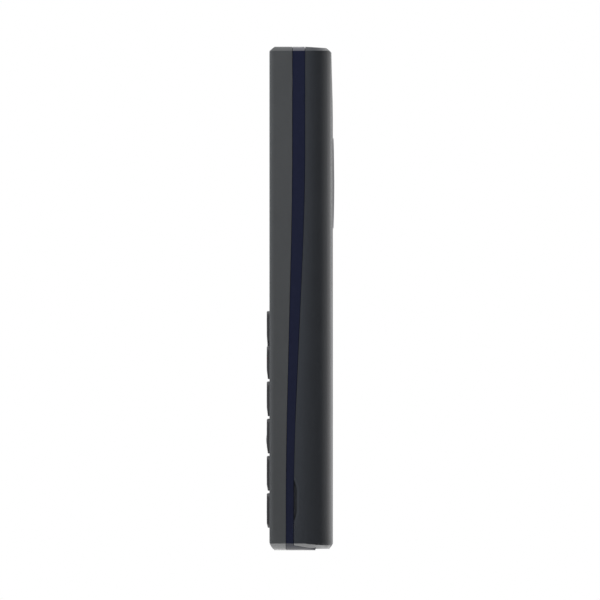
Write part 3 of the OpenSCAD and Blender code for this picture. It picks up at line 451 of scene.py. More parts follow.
def seam_polish_and_highlight(sheet):
    """Beside the seam the cover is polished, and painted lighter as a highlight."""
    return 1 - sheet.ramp(behind_seam(sheet), *SEAM_POLISH_AND_HIGHLIGHT)


def cover_top(sheet):
    """The cover's top end, which a pocket rubs dull, and less towards the back."""
    _, y, z = sheet.place()
    end = sheet.ramp(z, TOP_EDGE - EDGE_OUT, TOP_EDGE + EDGE_IN)
    return end * (1 - sheet.ramp(y, *POCKET))


def cover_grip(sheet):
    """The rear edges of the cover, which the palm rubs dull low down."""
    _, y, z = sheet.place()
    return sheet.ramp(y, *REAR_EDGE) * (1 - sheet.ramp(z, *PALM))


def past_notch(sheet):
    """How far a point lies behind the curve of the pry notch, in metres."""
    along = abs(sheet.place()[2] - NOTCH_Z)
    return behind_seam(sheet) - NOTCH_DEPTH * (1 - sheet.ramp(along, *NOTCH_HALVES))


def notch_floor_light(sheet):
    """Painted light on the notch's floor against the seam, where the frame's edge shades it. It is rougher
    there.
    """
    x, _, z = sheet.place()
    dusty = 1 - sheet.ramp(past_notch(sheet), *NOTCH_LIGHT_REACH)
    return (abs(x) < HALF_WIDTH - 0.3 * MM) * dusty * (abs(z - NOTCH_Z) < NOTCH_HALVES[1])


def notch_lip_highlight(sheet):
    """A painted highlight along the edge of the notch."""
    past, z = past_notch(sheet), sheet.place()[2]
    return (past > 0) * (past < NOTCH_LIP) * (abs(z - NOTCH_Z) < NOTCH_HALVES[1])


# Seam, notch floor and notch lip are painted light; the top end and the grip are only made rougher
cover_wear_and_light = [
    (seam_polish_and_highlight, 1.6, -0.12),
    (cover_top, 1.0, 0.5),
    (cover_grip, 1.0, 0.12),
    (notch_floor_light, 3.0, 0.2),
    (notch_lip_highlight, 1.7, 0),
]
print("worn places of the cover:", len(cover_wear_and_light))

# %% [markdown]
# The plastics of this phone
#
# The colours are written as on a paint chart, so that they can be compared with a real sample. What differs
# from one plastic to the next is how rough it is and how coarse its grain: the frame and the cover are smooth
# and a little glossy, the rubber of the key mat is dull, and the camera island is polished on its face but
# satin on its side, which is also painted light grey as a highlight.

# %% Plastic finishes
ISLAND_LOW, ISLAND_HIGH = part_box("camera_island")
ISLAND_Z = (ISLAND_LOW.z + ISLAND_HIGH.z) / 2
SATIN_AND_HIGHLIGHT_EDGE = (ISLAND_HIGH.x - 0.1 * MM, ISLAND_HIGH.x - 0.04 * MM)


def island_side_satin_and_highlight(sheet):
    """The low side of the camera island: satin, and painted light grey as a highlight, while its face is
    polished black.
    """
    x, _, z = sheet.place()
    up = z - ISLAND_Z
    return sheet.ramp(sheet.root(x * x + up * up), *SATIN_AND_HIGHLIGHT_EDGE)


# Painted highlights: the housing's front edges, the keys' sides and the island's side are painted lighter
housing_highlight = [(front_edge_highlight, 1.75, -0.12)]
key_highlight = [(key_side_highlight, 2.3, 0)]
island_satin_and_highlight = [(island_side_satin_and_highlight, 150, 0.2)]
moulded("housing_plastic", paint(73, 75, 77), 0.4, 0.12 * MM, 0.004 * MM, 0.6, (1, 0), housing_highlight)
moulded("frame_plastic", paint(27, 31, 52), 0.24, 0.2 * MM, 0.002 * MM, 0.4, (0.05, 1))
moulded("cover_plastic", paint(49, 52, 57), 0.2, 0.12 * MM, 0.002 * MM, 0.7, (1, 0), cover_wear_and_light)
moulded("key_plastic", paint(50, 50, 52), 0.32, 0.15 * MM, 0.003 * MM, 0.7, wear_and_light=key_highlight)
moulded("black_plastic", paint(28, 28, 30), 0.55, 0.2 * MM, 0.006 * MM, 0.4)
moulded("white_plastic", paint(225, 225, 215), 0.4, 0.2 * MM, 0.004 * MM, 0.5)
moulded("mat_rubber", paint(30, 30, 33), 0.75, 0.25 * MM, 0.01 * MM, 0.25)
moulded("battery_wrap", paint(92, 94, 98), 0.32, 0.3 * MM, 0.003 * MM, 0.5)
moulded("film", paint(70, 72, 76), 0.35, 0.3 * MM, 0.002 * MM, 0.5)
moulded("island_plastic", paint(12, 12, 14), 0.12, 0.6 * MM, 0.0005 * MM, 0.5, wear_and_light=island_satin_and_highlight)

# %% [markdown]
# Metal
#
# Shield cans, sockets and screws are tinned or plated sheet. Rolled sheet has long faint lines, so its noise is
# drawn out along one axis, and the lines move the colour and the bump, while slow stains darken it and move the
# roughness.


# %% Metal
def plated(name, colour, roughness, stretch, line=0.4 * MM):
    sheet = new_finish(name)
    lines = sheet.noise(line, 3.0, stretch)
    stains = sheet.noise(5 * MM, 3.0)
    shade = sheet.mix(lines, brighter(colour, 0.86), brighter(colour, 1.06))
    shade = sheet.mix(sheet.ramp(stains, 0.5, 0.75) * 0.4, shade, brighter(colour, 0.7))
    sheet.surface(
        Base_Color=shade,
        Metallic=1.0,
        Roughness=roughness + stains * 0.12,
        Normal=sheet.bump(lines, 0.004 * MM),
    )
    print("metal:", name)


plated("steel", paint(196, 198, 200), 0.28, (1.0, 1.0, 0.06))
plated("screw_steel", paint(172, 174, 176), 0.25, (1.0, 1.0, 1.0))
plated("gold", paint(232, 190, 104), 0.22, (1.0, 1.0, 0.2))
plated("copper", paint(206, 138, 96), 0.3, (0.06, 1.0, 1.0))
plated("tungsten", paint(122, 120, 118), 0.45, (1.0, 1.0, 1.0), 0.15 * MM)

# %% [markdown]
# Glass, board and mesh
#
# The window is clear acrylic, so light goes through it to the display. The board is green lacquer over copper
# tracks, which a brick pattern draws well enough under a battery. The sound meshes are woven wire, a grid of
# two crossed waves.


# %% Clear plastic and glass
def clear(name, colour, roughness, index=1.49):
    sheet = new_finish(name)
    haze = sheet.noise(7 * MM, 3.0)
    sheet.surface(
        Base_Color=sheet.mix(haze, colour, brighter(colour, 0.96)),
        Roughness=roughness + haze * 0.03,
        Transmission_Weight=1.0,
        IOR=index,
    )
    print("clear:", name)


clear("window_glass", paint(236, 238, 240), 0.01)
clear("clear_plastic", paint(246, 246, 242), 0.08)
clear("camera_glass", paint(190, 196, 210), 0.0, 1.52)

# %% Board
TRACKS_PER_METRE = 420.0
PADS_PER_METRE = 380.0
PAD_RADIUS = 0.16
board = new_finish("board")
x, _, z = board.place()
flat_point = board.node("ShaderNodeCombineXYZ", None, {0: x, 1: z})
tracks = board.node(
    "ShaderNodeTexBrick",
    {"offset": 0.37},
    {"Vector": flat_point, "Scale": TRACKS_PER_METRE, "Mortar Size": 0.06, "Mortar Smooth": 0.2},
    1,
)
pad_distance = board.node("ShaderNodeTexVoronoi", None, {"Vector": flat_point, "Scale": PADS_PER_METRE})
lacquer = board.mix(board.noise(4 * MM), paint(14, 66, 44), paint(22, 84, 56))
lacquer = board.mix(tracks * 0.7, lacquer, paint(40, 112, 76))
board.surface(
    Base_Color=board.mix(pad_distance < PAD_RADIUS, lacquer, paint(214, 186, 120)),
    Roughness=0.3 + tracks * 0.1,
    Metallic=(pad_distance < PAD_RADIUS) * 0.8,
    Normal=board.bump(tracks, 0.02 * MM),
)
print("board: tracks every", round(1 / TRACKS_PER_METRE / MM, 1), "mm")

# %% Sound mesh and display
WIRE_PITCH = 0.32 * MM
DOT_PITCH = 0.16 * MM
weave = new_finish("mesh")
x, _, z = weave.place()
warp = weave.node("ShaderNodeMath", {"operation": "SINE"}, {0: x * (2 * math.pi / WIRE_PITCH)})
weft = weave.node("ShaderNodeMath", {"operation": "SINE"}, {0: z * (2 * math.pi / WIRE_PITCH)})
wires = weave.node("ShaderNodeMath", {"operation": "MAXIMUM"}, {0: warp, 1: weft})
weave.surface(
    Base_Color=weave.mix(weave.ramp(wires, -0.2, 0.6), paint(6, 6, 6), paint(58, 58, 60)),
    Metallic=0.6,
    Roughness=0.45 + weave.noise(3 * MM) * 0.1,
    Normal=weave.bump(wires, 0.05 * MM),
)

lcd = new_finish("lcd_glass")
x, _, z = lcd.place()
dot_columns = lcd.node("ShaderNodeMath", {"operation": "SINE"}, {0: x * (2 * math.pi / DOT_PITCH)})
dot_rows = lcd.node("ShaderNodeMath", {"operation": "SINE"}, {0: z * (2 * math.pi / DOT_PITCH)})
dots = lcd.ramp(dot_columns, -0.8, 0.2) * lcd.ramp(dot_rows, -0.8, 0.2)
lcd.surface(
    Base_Color=lcd.mix(dots, paint(18, 20, 22), paint(22, 24, 26)),
    Roughness=0.22 + lcd.noise(12 * MM) * 0.06,
    Specular_IOR_Level=0.5,
)
print("finishes so far:", len(finishes))

# %% [markdown]
# Dressing the CAD solids
#
# A moulding never has a razor edge: each one is rounded a little, and that thin round catches the light. The
# edges could be rebuilt by hand, but a stack of modifiers does it without touching the solid: weld the split
# corners, merge the flat triangles, round what is still sharp, and let large faces lead the shading.

# %% Dress the CAD solids
slot_of = {part["node"]: part["material_slot"] for part in frame["record"]["subparts"]}
SHARP = math.radians(32)
FLAT = math.radians(0.4)
WELD = 0.001 * MM


def soften(node, width, segments=2, domed=False):
    """Round the sharp edges of a solid. A domed one keeps its small facets, which are its curve."""
    weld = node.modifiers.new("weld", "WELD")
    weld.merge_threshold = WELD
    if not domed:
        flat = node.modifiers.new("flat", "DECIMATE")
        flat.decimate_type = "DISSOLVE"
        flat.angle_limit = FLAT
    round_over = node.modifiers.new("round_over", "BEVEL")
    round_over.limit_method = "ANGLE"
    round_over.angle_limit = SHARP
    round_over.width = width
    round_over.segments = segments
    round_over.miter_outer = "MITER_ARC"
    shade = node.modifiers.new("shade", "WEIGHTED_NORMAL")
    shade.weight = 60


# How wide each solid's edges are rounded, in millimetres
ROUND = {
    "front_housing": 0.12, "middle_frame": 0.08, "back_cover": 0.1, "nav_ring": 0.1, "select_key": 0.1,
    "display_window": 0.08, "battery": 0.35, "headset_jack": 0.15, "charging_socket": 0.06, "loudspeaker": 0.25,
    "camera_module": 0.2, "contact_block": 0.2, "shield_cans": 0.08, "sim_sockets": 0.08, "torch_led": 0.15,
    "memory_card_socket": 0.08, "vibration_motor": 0.2, "vibration_weight": 0.12, "housing_screws": 0.06,
    "flash_led": 0.1, "contact_blades": 0.12, "speaker_gasket": 0.15, "torch_lens": 0.1, "flash_window": 0.06,
}
ISLAND_ROUND = 0.11
KEYS = [name for name in nodes if name.startswith("key_") and name != "key_mat"]
KEYS += ["left_soft_key", "right_soft_key", "call_key", "end_key"]
ROUND.update({key: 0.08 for key in KEYS})
for name, node in nodes.items():
    node.material_slots[0].material = finishes[slot_of[name]]
    if name in ROUND:
        soften(node, ROUND[name] * MM)
soften(nodes["camera_island"], ISLAND_ROUND * MM, 4, domed=True)
print("softened:", len(ROUND) + 1, "of", len(nodes), "solids")

# %% [markdown]
# Small pieces in mesh code
#
# The rest of the lesson adds what the CAD leaves to the eye: prints, masks, lenses and labels. Most of them are
# thin plates cut to an outline or parts turned on a lathe, so two small makers are enough. Each piece is told
# which body it rides on, so that it moves with the right solid.


# %% Plates
def add_piece(name, mesh, finish, body):
    """A finished mesh as a piece of the phone."""
    mesh.materials.append(finishes[finish])
    piece = bpy.data.objects.new(name, mesh)
    bpy.context.scene.collection.objects.link(piece)
    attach(piece, body)


def rounded_outline(middle_x, middle_z, width, height, radius, steps=8):
    """Corner points of a rounded rectangle, seen from the front."""
    points = []
    for turn, (side_x, side_z) in enumerate([(1, 1), (-1, 1), (-1, -1), (1, -1)]):
        for step in range(steps + 1):
            angle = math.radians(90 * (turn + step / steps))
            points.append((
                middle_x + side_x * (width / 2 - radius) + radius * math.cos(angle),
                middle_z + side_z * (height / 2 - radius) + radius * math.sin(angle),
            ))
    return points


def plate_mesh(name, outline, front, back, sink=lambda z: 0):
    """A plate with this outline between two depths, both set back by sink at a height."""
    count = len(outline)
    points = [(x, depth + sink(z), z) for depth in (front, back) for x, z in outline]
    faces = [tuple(range(count)), tuple(range(2 * count - 1, count - 1, -1))]
    faces += [(i, i + count, (i + 1) % count + count, (i + 1) % count) for i in range(count)]
    mesh = bpy.data.meshes.new(name)
    mesh.from_pydata(points, [], faces)
    face_out(mesh)
    return mesh


def frame_mesh(name, outer, inner, front, back):
    """A plate with a hole, from two outlines with as many points. Front and back give the depth at a height."""
    count = len(outer)
    points = [(x, depth(z), z) for depth in (front, back) for loop in (outer, inner) for x, z in loop]
    faces = []
    for i in range(count):
        j = (i + 1) % count
        faces += [
            (i, j, j + count, i + count),
            (i + 2 * count, i + 3 * count, j + 3 * count, j + 2 * count),
            (i, i + 2 * count, j + 2 * count, j),
            (i + count, j + count, j + 3 * count, i + 3 * count),
        ]
    mesh = bpy.data.meshes.new(name)
    mesh.from_pydata(points, [], faces)
    face_out(mesh)
    return mesh


def face_out(mesh):
    """Turn every face outwards."""
    shape = bmesh.new()
    shape.from_mesh(mesh)
    bmesh.ops.recalc_face_normals(shape, faces=shape.faces)
    shape.to_mesh(mesh)
    shape.free()


print("plate makers ready")


# %% Lathe and joining
SAME_POINT = 0.0005 * MM


def turned_mesh(name, profile, middle_x, middle_z, steps=48):
    """A lathe part about an axis along the phone's depth, from points of radius and depth."""
    shape = bmesh.new()
    line = [shape.verts.new((middle_x + radius, depth, middle_z)) for radius, depth in profile]
    edges = [shape.edges.new(pair) for pair in zip(line, line[1:])]
    bmesh.ops.spin(
        shape, geom=line + edges, cent=(middle_x, 0, middle_z), axis=(0, 1, 0), angle=2 * math.pi, steps=steps
    )
    bmesh.ops.remove_doubles(shape, verts=shape.verts, dist=SAME_POINT)
    mesh = bpy.data.meshes.new(name)
    shape.to_mesh(mesh)
    shape.free()
    face_out(mesh)
    mesh.shade_smooth()
    mesh.set_sharp_from_angle(angle=SHARP)
    return mesh


def join_meshes(name, meshes):
    """One mesh from several, which are used up."""
    shape = bmesh.new()
    for mesh in meshes:
        shape.from_mesh(mesh)
        bpy.data.meshes.remove(mesh)
    joined = bpy.data.meshes.new(name)
    shape.to_mesh(joined)
    shape.free()
    return joined


def middle(node):
    """The middle of a solid's box."""
    low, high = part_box(node)
    return (low + high) / 2


print("lathe ready")

# %% [markdown]
# The seam gasket
#
# The front housing meets the frame at a fine seam that sweeps down the side. On a real phone a lip behind the
# seam keeps dust and light out. A closed ring the width of the gap does that here: it follows the seam's curve
# all the way round, a little below the surface, so the seam reads as a dark line. Two straight strips do the
# same where the cover meets the frame, at the top end and behind the tongue at the foot. Two bits of foam on
# the frame's wall close the last gaps, at the upper ends of the cover's side tongues.

# %% Seam gasket
SEAM_GAP = 0.1 * MM
FRONT_SEAM = (3.77 * MM, 5.24 * MM)
GASKET_INSETS = (0.15 * MM, 0.9 * MM)
# How much the body's outline is cut at each end, along its height and along its width
FOOT_CUT = (1.6 * MM, 2.2 * MM)
HEAD_CUT = (1.0 * MM, 1.6 * MM)


def seam_depth(z):
    """Depth of the front seam at a height: the same soft step that the CAD uses."""
    share = min(max((z - SEAM_SWEEP[0]) / (SEAM_SWEEP[1] - SEAM_SWEEP[0]), 0), 1)
    share = share * share * (3 - 2 * share)
    return FRONT_FACE + FRONT_SEAM[0] + (FRONT_SEAM[1] - FRONT_SEAM[0]) * share


def gasket_outline(inset, steps=28):
    """The body's front outline with its cut corners, drawn in by inset."""
    side = HALF_WIDTH - inset
    low, high = FOOT_CUT[0] + inset / 2, BODY_TOP - HEAD_CUT[0] - inset / 2
    heights = [low + (high - low) * i / steps for i in range(steps + 1)]
    foot, head = HALF_WIDTH - FOOT_CUT[1] - inset / 2, HALF_WIDTH - HEAD_CUT[1] - inset / 2
    right = [(side, z) for z in heights]
    left = [(-side, z) for z in reversed(heights)]
    upper = [(head, BODY_TOP - inset), (-head, BODY_TOP - inset)]
    lower = [(-foot, inset), (foot, inset)]
    return right + upper + left + lower


gasket = frame_mesh(
    "seam_gasket",
    *[gasket_outline(inset) for inset in GASKET_INSETS],
    lambda z: seam_depth(z) - SEAM_GAP / 2,
    lambda z: seam_depth(z) + SEAM_GAP / 2,
)
add_piece("seam_gasket", gasket, "mat_rubber", "phone")
print("gasket:", len(gasket.polygons), "faces")

# %% Strips and light seals
TONGUE_END = FRONT_FACE + 10.5 * MM
TOP_STRIP_Z, FOOT_STRIP_Z = BODY_TOP - 0.85 * MM, 0.75 * MM
# Width, height and corner radius
TOP_STRIP = (46 * MM, 1.0 * MM, 0.3 * MM)
FOOT_STRIP = (40 * MM, 0.9 * MM, 0.3 * MM)
rear_seam = FRONT_FACE + REAR_SEAM[1]
top_strip = rounded_outline(0, TOP_STRIP_Z, *TOP_STRIP)
strip = plate_mesh("top_gasket", top_strip, rear_seam - SEAM_GAP / 2, rear_seam + SEAM_GAP / 2)
add_piece("top_gasket", strip, "mat_rubber", "phone")
foot_strip = rounded_outline(0, FOOT_STRIP_Z, *FOOT_STRIP)
strip = plate_mesh("foot_gasket", foot_strip, TONGUE_END, TONGUE_END + SEAM_GAP)
add_piece("foot_gasket", strip, "mat_rubber", "phone")
SEAL_PLACE = (22.4 * MM, 26.7 * MM)
SEAL_SIZE = (0.4 * MM, 2.6 * MM, 0.15 * MM)
SEAL_FOAM = (FRONT_FACE + 5.3 * MM, FRONT_FACE + 6.05 * MM)
seals = []
for side in (-1, 1):
    foam = rounded_outline(side * SEAL_PLACE[0], SEAL_PLACE[1], *SEAL_SIZE)
    seals.append(plate_mesh("seal", foam, *SEAL_FOAM))
add_piece("light_seals", join_meshes("light_seals", seals), "mat_rubber", "phone")
print("seals: two strips and", len(seals), "bits of foam")

# %% [markdown]
# Key legends
#
# The figures on the keys are printed, a layer of ink a few hundredths of a millimetre thick. A texture would
# do from far off, but cut plates keep their edges sharp at any distance. Each legend is set in Blender's own
# plain type, turned upright, laid on its key's face and left to ride with that key.

# %% Ink and lettering
INK = 0.015 * MM


def ink(name, colour):
    sheet = new_finish(name)
    patchy = sheet.noise(0.5 * MM, 3.0)
    marked = sheet.noise(3 * MM, 2.0)
    sheet.surface(
        Base_Color=sheet.mix(patchy, brighter(colour, 0.88), colour),
        Roughness=0.5 + marked * 0.15,
        Normal=sheet.bump(patchy, 0.004 * MM),
    )


ink("legend_ink", paint(214, 216, 218))
ink("call_ink", paint(70, 178, 92))
ink("end_ink", paint(206, 62, 52))


def lettering(words, size, middle_x, middle_z, face):
    """Upright lettering, centred on a place of the key's face."""
    curve = bpy.data.curves.new("lettering", "FONT")
    curve.body = words
    curve.size = size
    curve.extrude = INK
    curve.resolution_u = 4
    holder = bpy.data.objects.new("lettering", curve)
    bpy.context.scene.collection.objects.link(holder)
    bpy.context.view_layer.update()
    mesh = bpy.data.meshes.new_from_object(holder.evaluated_get(bpy.context.evaluated_depsgraph_get()))
    bpy.data.objects.remove(holder)
    bpy.data.curves.remove(curve)
    mesh.transform(Matrix.Rotation(math.radians(90), 4, "X"))
    xs = [v.co.x for v in mesh.vertices]
    zs = [v.co.z for v in mesh.vertices]
    shift = Vector((middle_x - (min(xs) + max(xs)) / 2, face, middle_z - (min(zs) + max(zs)) / 2))
    mesh.transform(Matrix.Translation(shift))
    return mesh


print("ink and lettering ready")

# %% Key legends
LETTERS = {
    "1": "", "2": "ABC", "3": "DEF", "4": "GHI", "5": "JKL", "6": "MNO",
    "7": "PQRS", "8": "TUV", "9": "WXYZ", "0": "+", "star": "", "hash": "",
}
DIGIT_SIZE = 4.6 * MM
LETTER_SIZE = 2.3 * MM
PLUS_SHARE = 1.5
FIGURE_LEFT, LETTERS_RIGHT, LEGEND_UP = 3.3 * MM, 2.9 * MM, 0.5 * MM
# The plain type has a bare stroke for a one, so the key gets its own figure with a flag, in heights of a figure
FLAGGED_ONE = [(0.1, -0.5), (0.1, 0.5), (0.0, 0.5), (-0.26, 0.3), (-0.26, 0.15), (-0.06, 0.29), (-0.06, -0.5)]
FIGURE_HEIGHT = 0.68 * DIGIT_SIZE


def flagged_one(middle_x, middle_z, face):
    outline = [(middle_x + x * FIGURE_HEIGHT, middle_z + z * FIGURE_HEIGHT) for x, z in FLAGGED_ONE]
    return plate_mesh("flagged_one", outline, face - INK, face + INK)


for digit, letters in LETTERS.items():
    place = middle("key_" + digit) + Vector((0, 0, LEGEND_UP))
    figure = {"star": "*", "hash": "#"}.get(digit, digit)
    figure_x = place.x - (FIGURE_LEFT if letters or digit == "1" else 0)
    if digit == "1":
        meshes = [flagged_one(figure_x, place.z, KEY_FACE)]
    else:
        meshes = [lettering(figure, DIGIT_SIZE, figure_x, place.z, KEY_FACE)]
    if letters:
        size = LETTER_SIZE * (PLUS_SHARE if letters == "+" else 1)
        meshes.append(lettering(letters, size, place.x + LETTERS_RIGHT, place.z, KEY_FACE))
    name = "legend_" + digit
    add_piece(name, join_meshes(name, meshes), "legend_ink", "key_" + digit)
print("legends:", len(LETTERS))

# %% [markdown]
# Call, end and menu marks
#
# The four keys beside the ring carry plain signs instead of figures: a green receiver to answer, a red one laid
# down to end, and a short bar for each menu key. A receiver is an arc with two square ends, so its outline is
# worked out from two arcs and turned for each key.


# %% Call, end and menu marks
def receiver_outline(middle_x, middle_z, turn, reach=1.9 * MM, steps=14):
    """Outline of a telephone receiver, an arc with a block at each end."""
    inner, outer, block = 0.62 * reach, reach, 1.22 * reach
    span = math.radians(68)
    arc = [span - 2 * span * i / steps for i in range(steps + 1)]
    grip = math.radians(24)
    points = [(outer, a) for a in arc if abs(a) < span - grip]
    points += [(block, -span + grip), (block, -span), (inner, -span), (inner, -span + grip)]
    points += [(inner * 1.15, a) for a in reversed(arc) if abs(a) < span - grip]
    points += [(inner, span - grip), (inner, span), (block, span), (block, span - grip)]
    drop = 0.75 * reach
    outline = []
    for radius, angle in points:
        x, z = radius * math.sin(angle), radius * math.cos(angle) - drop
        outline.append((
            middle_x + x * math.cos(turn) - z * math.sin(turn),
            middle_z + x * math.sin(turn) + z * math.cos(turn),
        ))
    return outline


def mark(name, outline, finish, body, face=KEY_FACE):
    """A printed sign on a key's face."""
    add_piece(name, plate_mesh(name, outline, face - INK, face + INK / 3), finish, body)


RAISED = Vector((0, 0, 0.7 * MM))
MENU_BAR = (4 * MM, 0.55 * MM, 0.27 * MM)
call_place = middle("call_key") + RAISED
end_place = middle("end_key") + RAISED
mark("call_mark", receiver_outline(call_place.x, call_place.z, math.radians(45)), "call_ink", "call_key")
mark("end_mark", receiver_outline(end_place.x, end_place.z, 0), "end_ink", "end_key")
for key in ("left_soft_key", "right_soft_key"):
    place = middle(key) + RAISED
    mark(key + "_mark", rounded_outline(place.x, place.z, *MENU_BAR), "legend_ink", key)
print("marks: call, end and two menu bars")

# %% [markdown]
# Marks on the ring
#
# Four small printed arrows show which ways the ring tips. The ring is dished across its middle for the thumb,
# so the two side arrows are made in an upper and a lower half, and each half follows its own slope of the dish.

# %% Ring marks
RING_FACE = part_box("nav_ring")[0].y
DISH_DROP = 0.17 * MM
DISH = (-1.1 * MM, 2.2 * MM)
ARROW = (1.0 * MM, 0.75 * MM)
LOWER_GAP = 1.3 * MM
ring = middle("nav_ring")
ring_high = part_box("nav_ring")[1]
select_low, select_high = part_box("select_key")


def dish(z):
    """How far the ring's face is set back at a height."""
    rise = z - ring.z
    return DISH_DROP * max(0.0, 1 - rise / (DISH[1] if rise > 0 else DISH[0]))


upper_z = (select_high.z + ring_high.z) / 2
lower_z = select_low.z - LOWER_GAP
length, half = ARROW
for name, z, way in (("ring_up_mark", upper_z, 1), ("ring_down_mark", lower_z, -1)):
    arrow = [(-half, z - way * length / 2), (half, z - way * length / 2), (0, z + way * length / 2)]
    mark(name, arrow, "legend_ink", "nav_ring", RING_FACE)
side_x = (select_high.x + ring_high.x) / 2
for name, way in (("ring_left_mark", -1), ("ring_right_mark", 1)):
    base, tip = way * (side_x - length / 2), way * (side_x + length / 2)
    halves = []
    for wing in (half, -half):
        arrow = [(base, ring.z), (tip, ring.z), (base, ring.z + wing)]
        halves.append(plate_mesh(name, arrow, RING_FACE - INK, RING_FACE + INK / 3, dish))
    add_piece(name, join_meshes(name, halves), "legend_ink", "nav_ring")
print("ring marks: arrows", length / MM, "mm long")

# %% [markdown]
# Behind the window
#
# The window's border is printed in black on its back, so the edges of the display and the adhesive stay
# hidden. It is a thin frame just behind the acrylic. The display itself is a dark pane with a fine dot grid.

# %% Screen mask
low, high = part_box("display_window")
window = (low + high) / 2
width, height = high.x - low.x, high.z - low.z
MASK_BORDER = 2.6 * MM
MASK_INSET = 0.1 * MM
MASK_CORNERS = (1.9 * MM, 0.4 * MM)
MASK_LAYER = (high.y + 0.005 * MM, high.y + 0.03 * MM)
outer = rounded_outline(window.x, window.z, width - MASK_INSET, height - MASK_INSET, MASK_CORNERS[0])
inner = rounded_outline(
    window.x, window.z, width - 2 * MASK_BORDER, height - 2 * MASK_BORDER, MASK_CORNERS[1]
)
mask = frame_mesh("screen_mask", outer, inner, lambda z: MASK_LAYER[0], lambda z: MASK_LAYER[1])
add_piece("screen_mask", mask, "black_plastic", "phone")
print("screen:", round((width - 2 * MASK_BORDER) / MM, 1), "mm wide inside its mask")

# %% [markdown]
# The camera's lenses
#
# Behind the round window of the camera sits a stack of small lenses in a stepped black barrel. The steps catch
# stray light, and the front lens shows a coloured coating. Both are turned parts. A printed ring on the back
# of the window hides the barrel's edge, and the flash lens beside it has turned ridges that spread its light.

# %% Camera lenses
lens = middle("camera_window")
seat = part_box("camera_module")[1].y
# Radius and depth over the barrel, in millimetres
HOOD_STEPS = [
    (2.4, 0.0), (2.4, 0.55), (2.1, 0.6), (2.05, 0.42), (1.75, 0.38), (1.7, 0.24), (1.4, 0.2), (1.35, 0.05),
]
LENS_RADIUS, LENS_FOOT, LENS_RISE = 1.4, 0.06, 0.3
hood = turned_mesh("lens_hood", [(r * MM, seat + d * MM) for r, d in HOOD_STEPS], lens.x, lens.z)
add_piece("lens_hood", hood, "black_plastic", "phone")
coating = new_finish("lens_coating")
sheen = coating.noise(1.2 * MM, 2.0)
coating.surface(
    Base_Color=coating.mix(sheen, paint(10, 12, 30), paint(26, 14, 44)),
    Roughness=0.04 + sheen * 0.03,
    Coat_Weight=0.6,
)
angles = [math.radians(90 * i / 8) for i in range(9)]
dome = [(LENS_RADIUS * math.cos(a), LENS_FOOT + LENS_RISE * math.sin(a)) for a in angles]
front_lens = turned_mesh("front_lens", [(r * MM, seat + d * MM) for r, d in dome], lens.x, lens.z)
add_piece("front_lens", front_lens, "lens_coating", "phone")
print("camera:", len(HOOD_STEPS) // 2, "steps in the hood, and the front lens")

# %% Camera mask and flash ridges
# Across and corner radius of the printed ring's two edges
RING_OUTER = (6.6 * MM, 6.6 * MM, 3.29 * MM)
RING_INNER = (4.4 * MM, 4.4 * MM, 2.19 * MM)
RING_LAYER = (0.04 * MM, 0.01 * MM)
# Radius, ridge width, ridge height and skirt of the flash lens, in millimetres
FLASH_RADIUS, RIDGE_STEP, RIDGE_RISE, FLASH_SKIRT = 1.25, 0.125, 0.07, 0.05
outer = rounded_outline(lens.x, lens.z, *RING_OUTER, 12)
inner = rounded_outline(lens.x, lens.z, *RING_INNER, 12)
glass_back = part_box("camera_window")[0].y
camera_ring = frame_mesh(
    "camera_mask", outer, inner, lambda z: glass_back - RING_LAYER[0], lambda z: glass_back - RING_LAYER[1]
)
add_piece("camera_mask", camera_ring, "black_plastic", "cover")
flash = middle("flash_window")
flash_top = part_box("flash_window")[1].y
ridges = [(FLASH_RADIUS - RIDGE_STEP * i, RIDGE_RISE if i % 2 else 0.0) for i in range(11)]
spread = [(FLASH_RADIUS, -FLASH_SKIRT)] + ridges
flash_lens = turned_mesh("flash_lens", [(r * MM, flash_top + d * MM) for r, d in spread], flash.x, flash.z)
add_piece("flash_lens", flash_lens, "clear_plastic", "cover")
print("flash: lens with", len(ridges) // 2, "ridges")

# %% [markdown]
# The battery
#
# Under the cover lies a flat cell with a moulded cap at its contact end and a pale label wrapped round the
# rest. The label is left bare. Three gold pads on the end meet the spring blades of the phone.

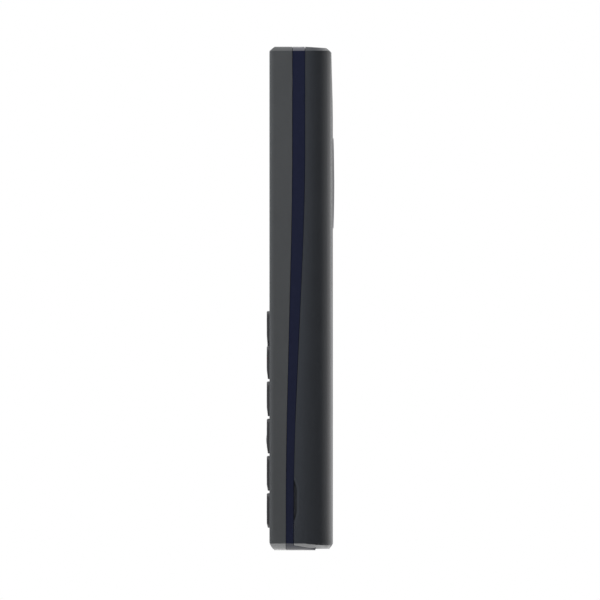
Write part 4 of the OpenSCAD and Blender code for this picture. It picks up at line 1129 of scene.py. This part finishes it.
# %% Battery label and cap
cell_low, cell_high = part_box("battery")
CAP = 4.5 * MM
LABEL_MARGIN = 0.6 * MM
LABEL_CORNER, CAP_CORNER = 0.8 * MM, 0.5 * MM
CAP_DROP, CAP_LESS = 0.4 * MM, 0.6 * MM
SUNK, LABEL_PROUD, CAP_PROUD = 0.01 * MM, 0.04 * MM, 0.03 * MM
label_paper = new_finish("label_paper")
fibre = label_paper.noise(0.4 * MM, 3.0)
scuff = label_paper.noise(6 * MM, 4.0, (1.0, 1.0, 0.3))
scuffed = label_paper.ramp(scuff, 0.55, 0.8) * 0.4
label_paper.surface(
    Base_Color=label_paper.mix(scuffed, paint(196, 198, 200), paint(150, 152, 155)),
    Roughness=0.42 + fibre * 0.12,
    Normal=label_paper.bump(fibre, 0.004 * MM),
)
label_w = cell_high.x * 2 - 1.4 * MM
label_h = cell_high.z - cell_low.z - CAP - 1.2 * MM
cell_back = cell_high.y
label = rounded_outline(0, cell_low.z + LABEL_MARGIN + label_h / 2, label_w, label_h, LABEL_CORNER)
label_plate = plate_mesh("battery_label", label, cell_back - SUNK, cell_back + LABEL_PROUD)
add_piece("battery_label", label_plate, "label_paper", "phone")
cap = rounded_outline(0, cell_high.z - CAP / 2 - CAP_DROP, label_w, CAP - CAP_LESS, CAP_CORNER)
cap_plate = plate_mesh("battery_cap", cap, cell_back - SUNK, cell_back + CAP_PROUD)
add_piece("battery_cap", cap_plate, "black_plastic", "phone")
print("battery: label", round(label_h / MM, 1), "mm high")

# %% Battery pads
blade_low, blade_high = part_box("contact_blades")
PAD = (2.0 * MM, 1.9 * MM)
PAD_CORNER = 0.3 * MM
PAD_LEAF = 0.02 * MM
BLADE_HALF = 0.6 * MM
pad_y = (blade_low.y + blade_high.y) / 2
pad_x = blade_high.x - BLADE_HALF
gold_pads = []
for x in (-pad_x, 0, pad_x):
    pad = plate_mesh("pad", rounded_outline(0, 0, *PAD, PAD_CORNER), -PAD_LEAF, PAD_LEAF)
    pad.transform(Matrix.Translation((x, pad_y, cell_high.z)) @ Matrix.Rotation(math.radians(90), 4, "X"))
    gold_pads.append(pad)
add_piece("battery_pads", join_meshes("battery_pads", gold_pads), "gold", "phone")
print("battery:", len(gold_pads), "gold pads")
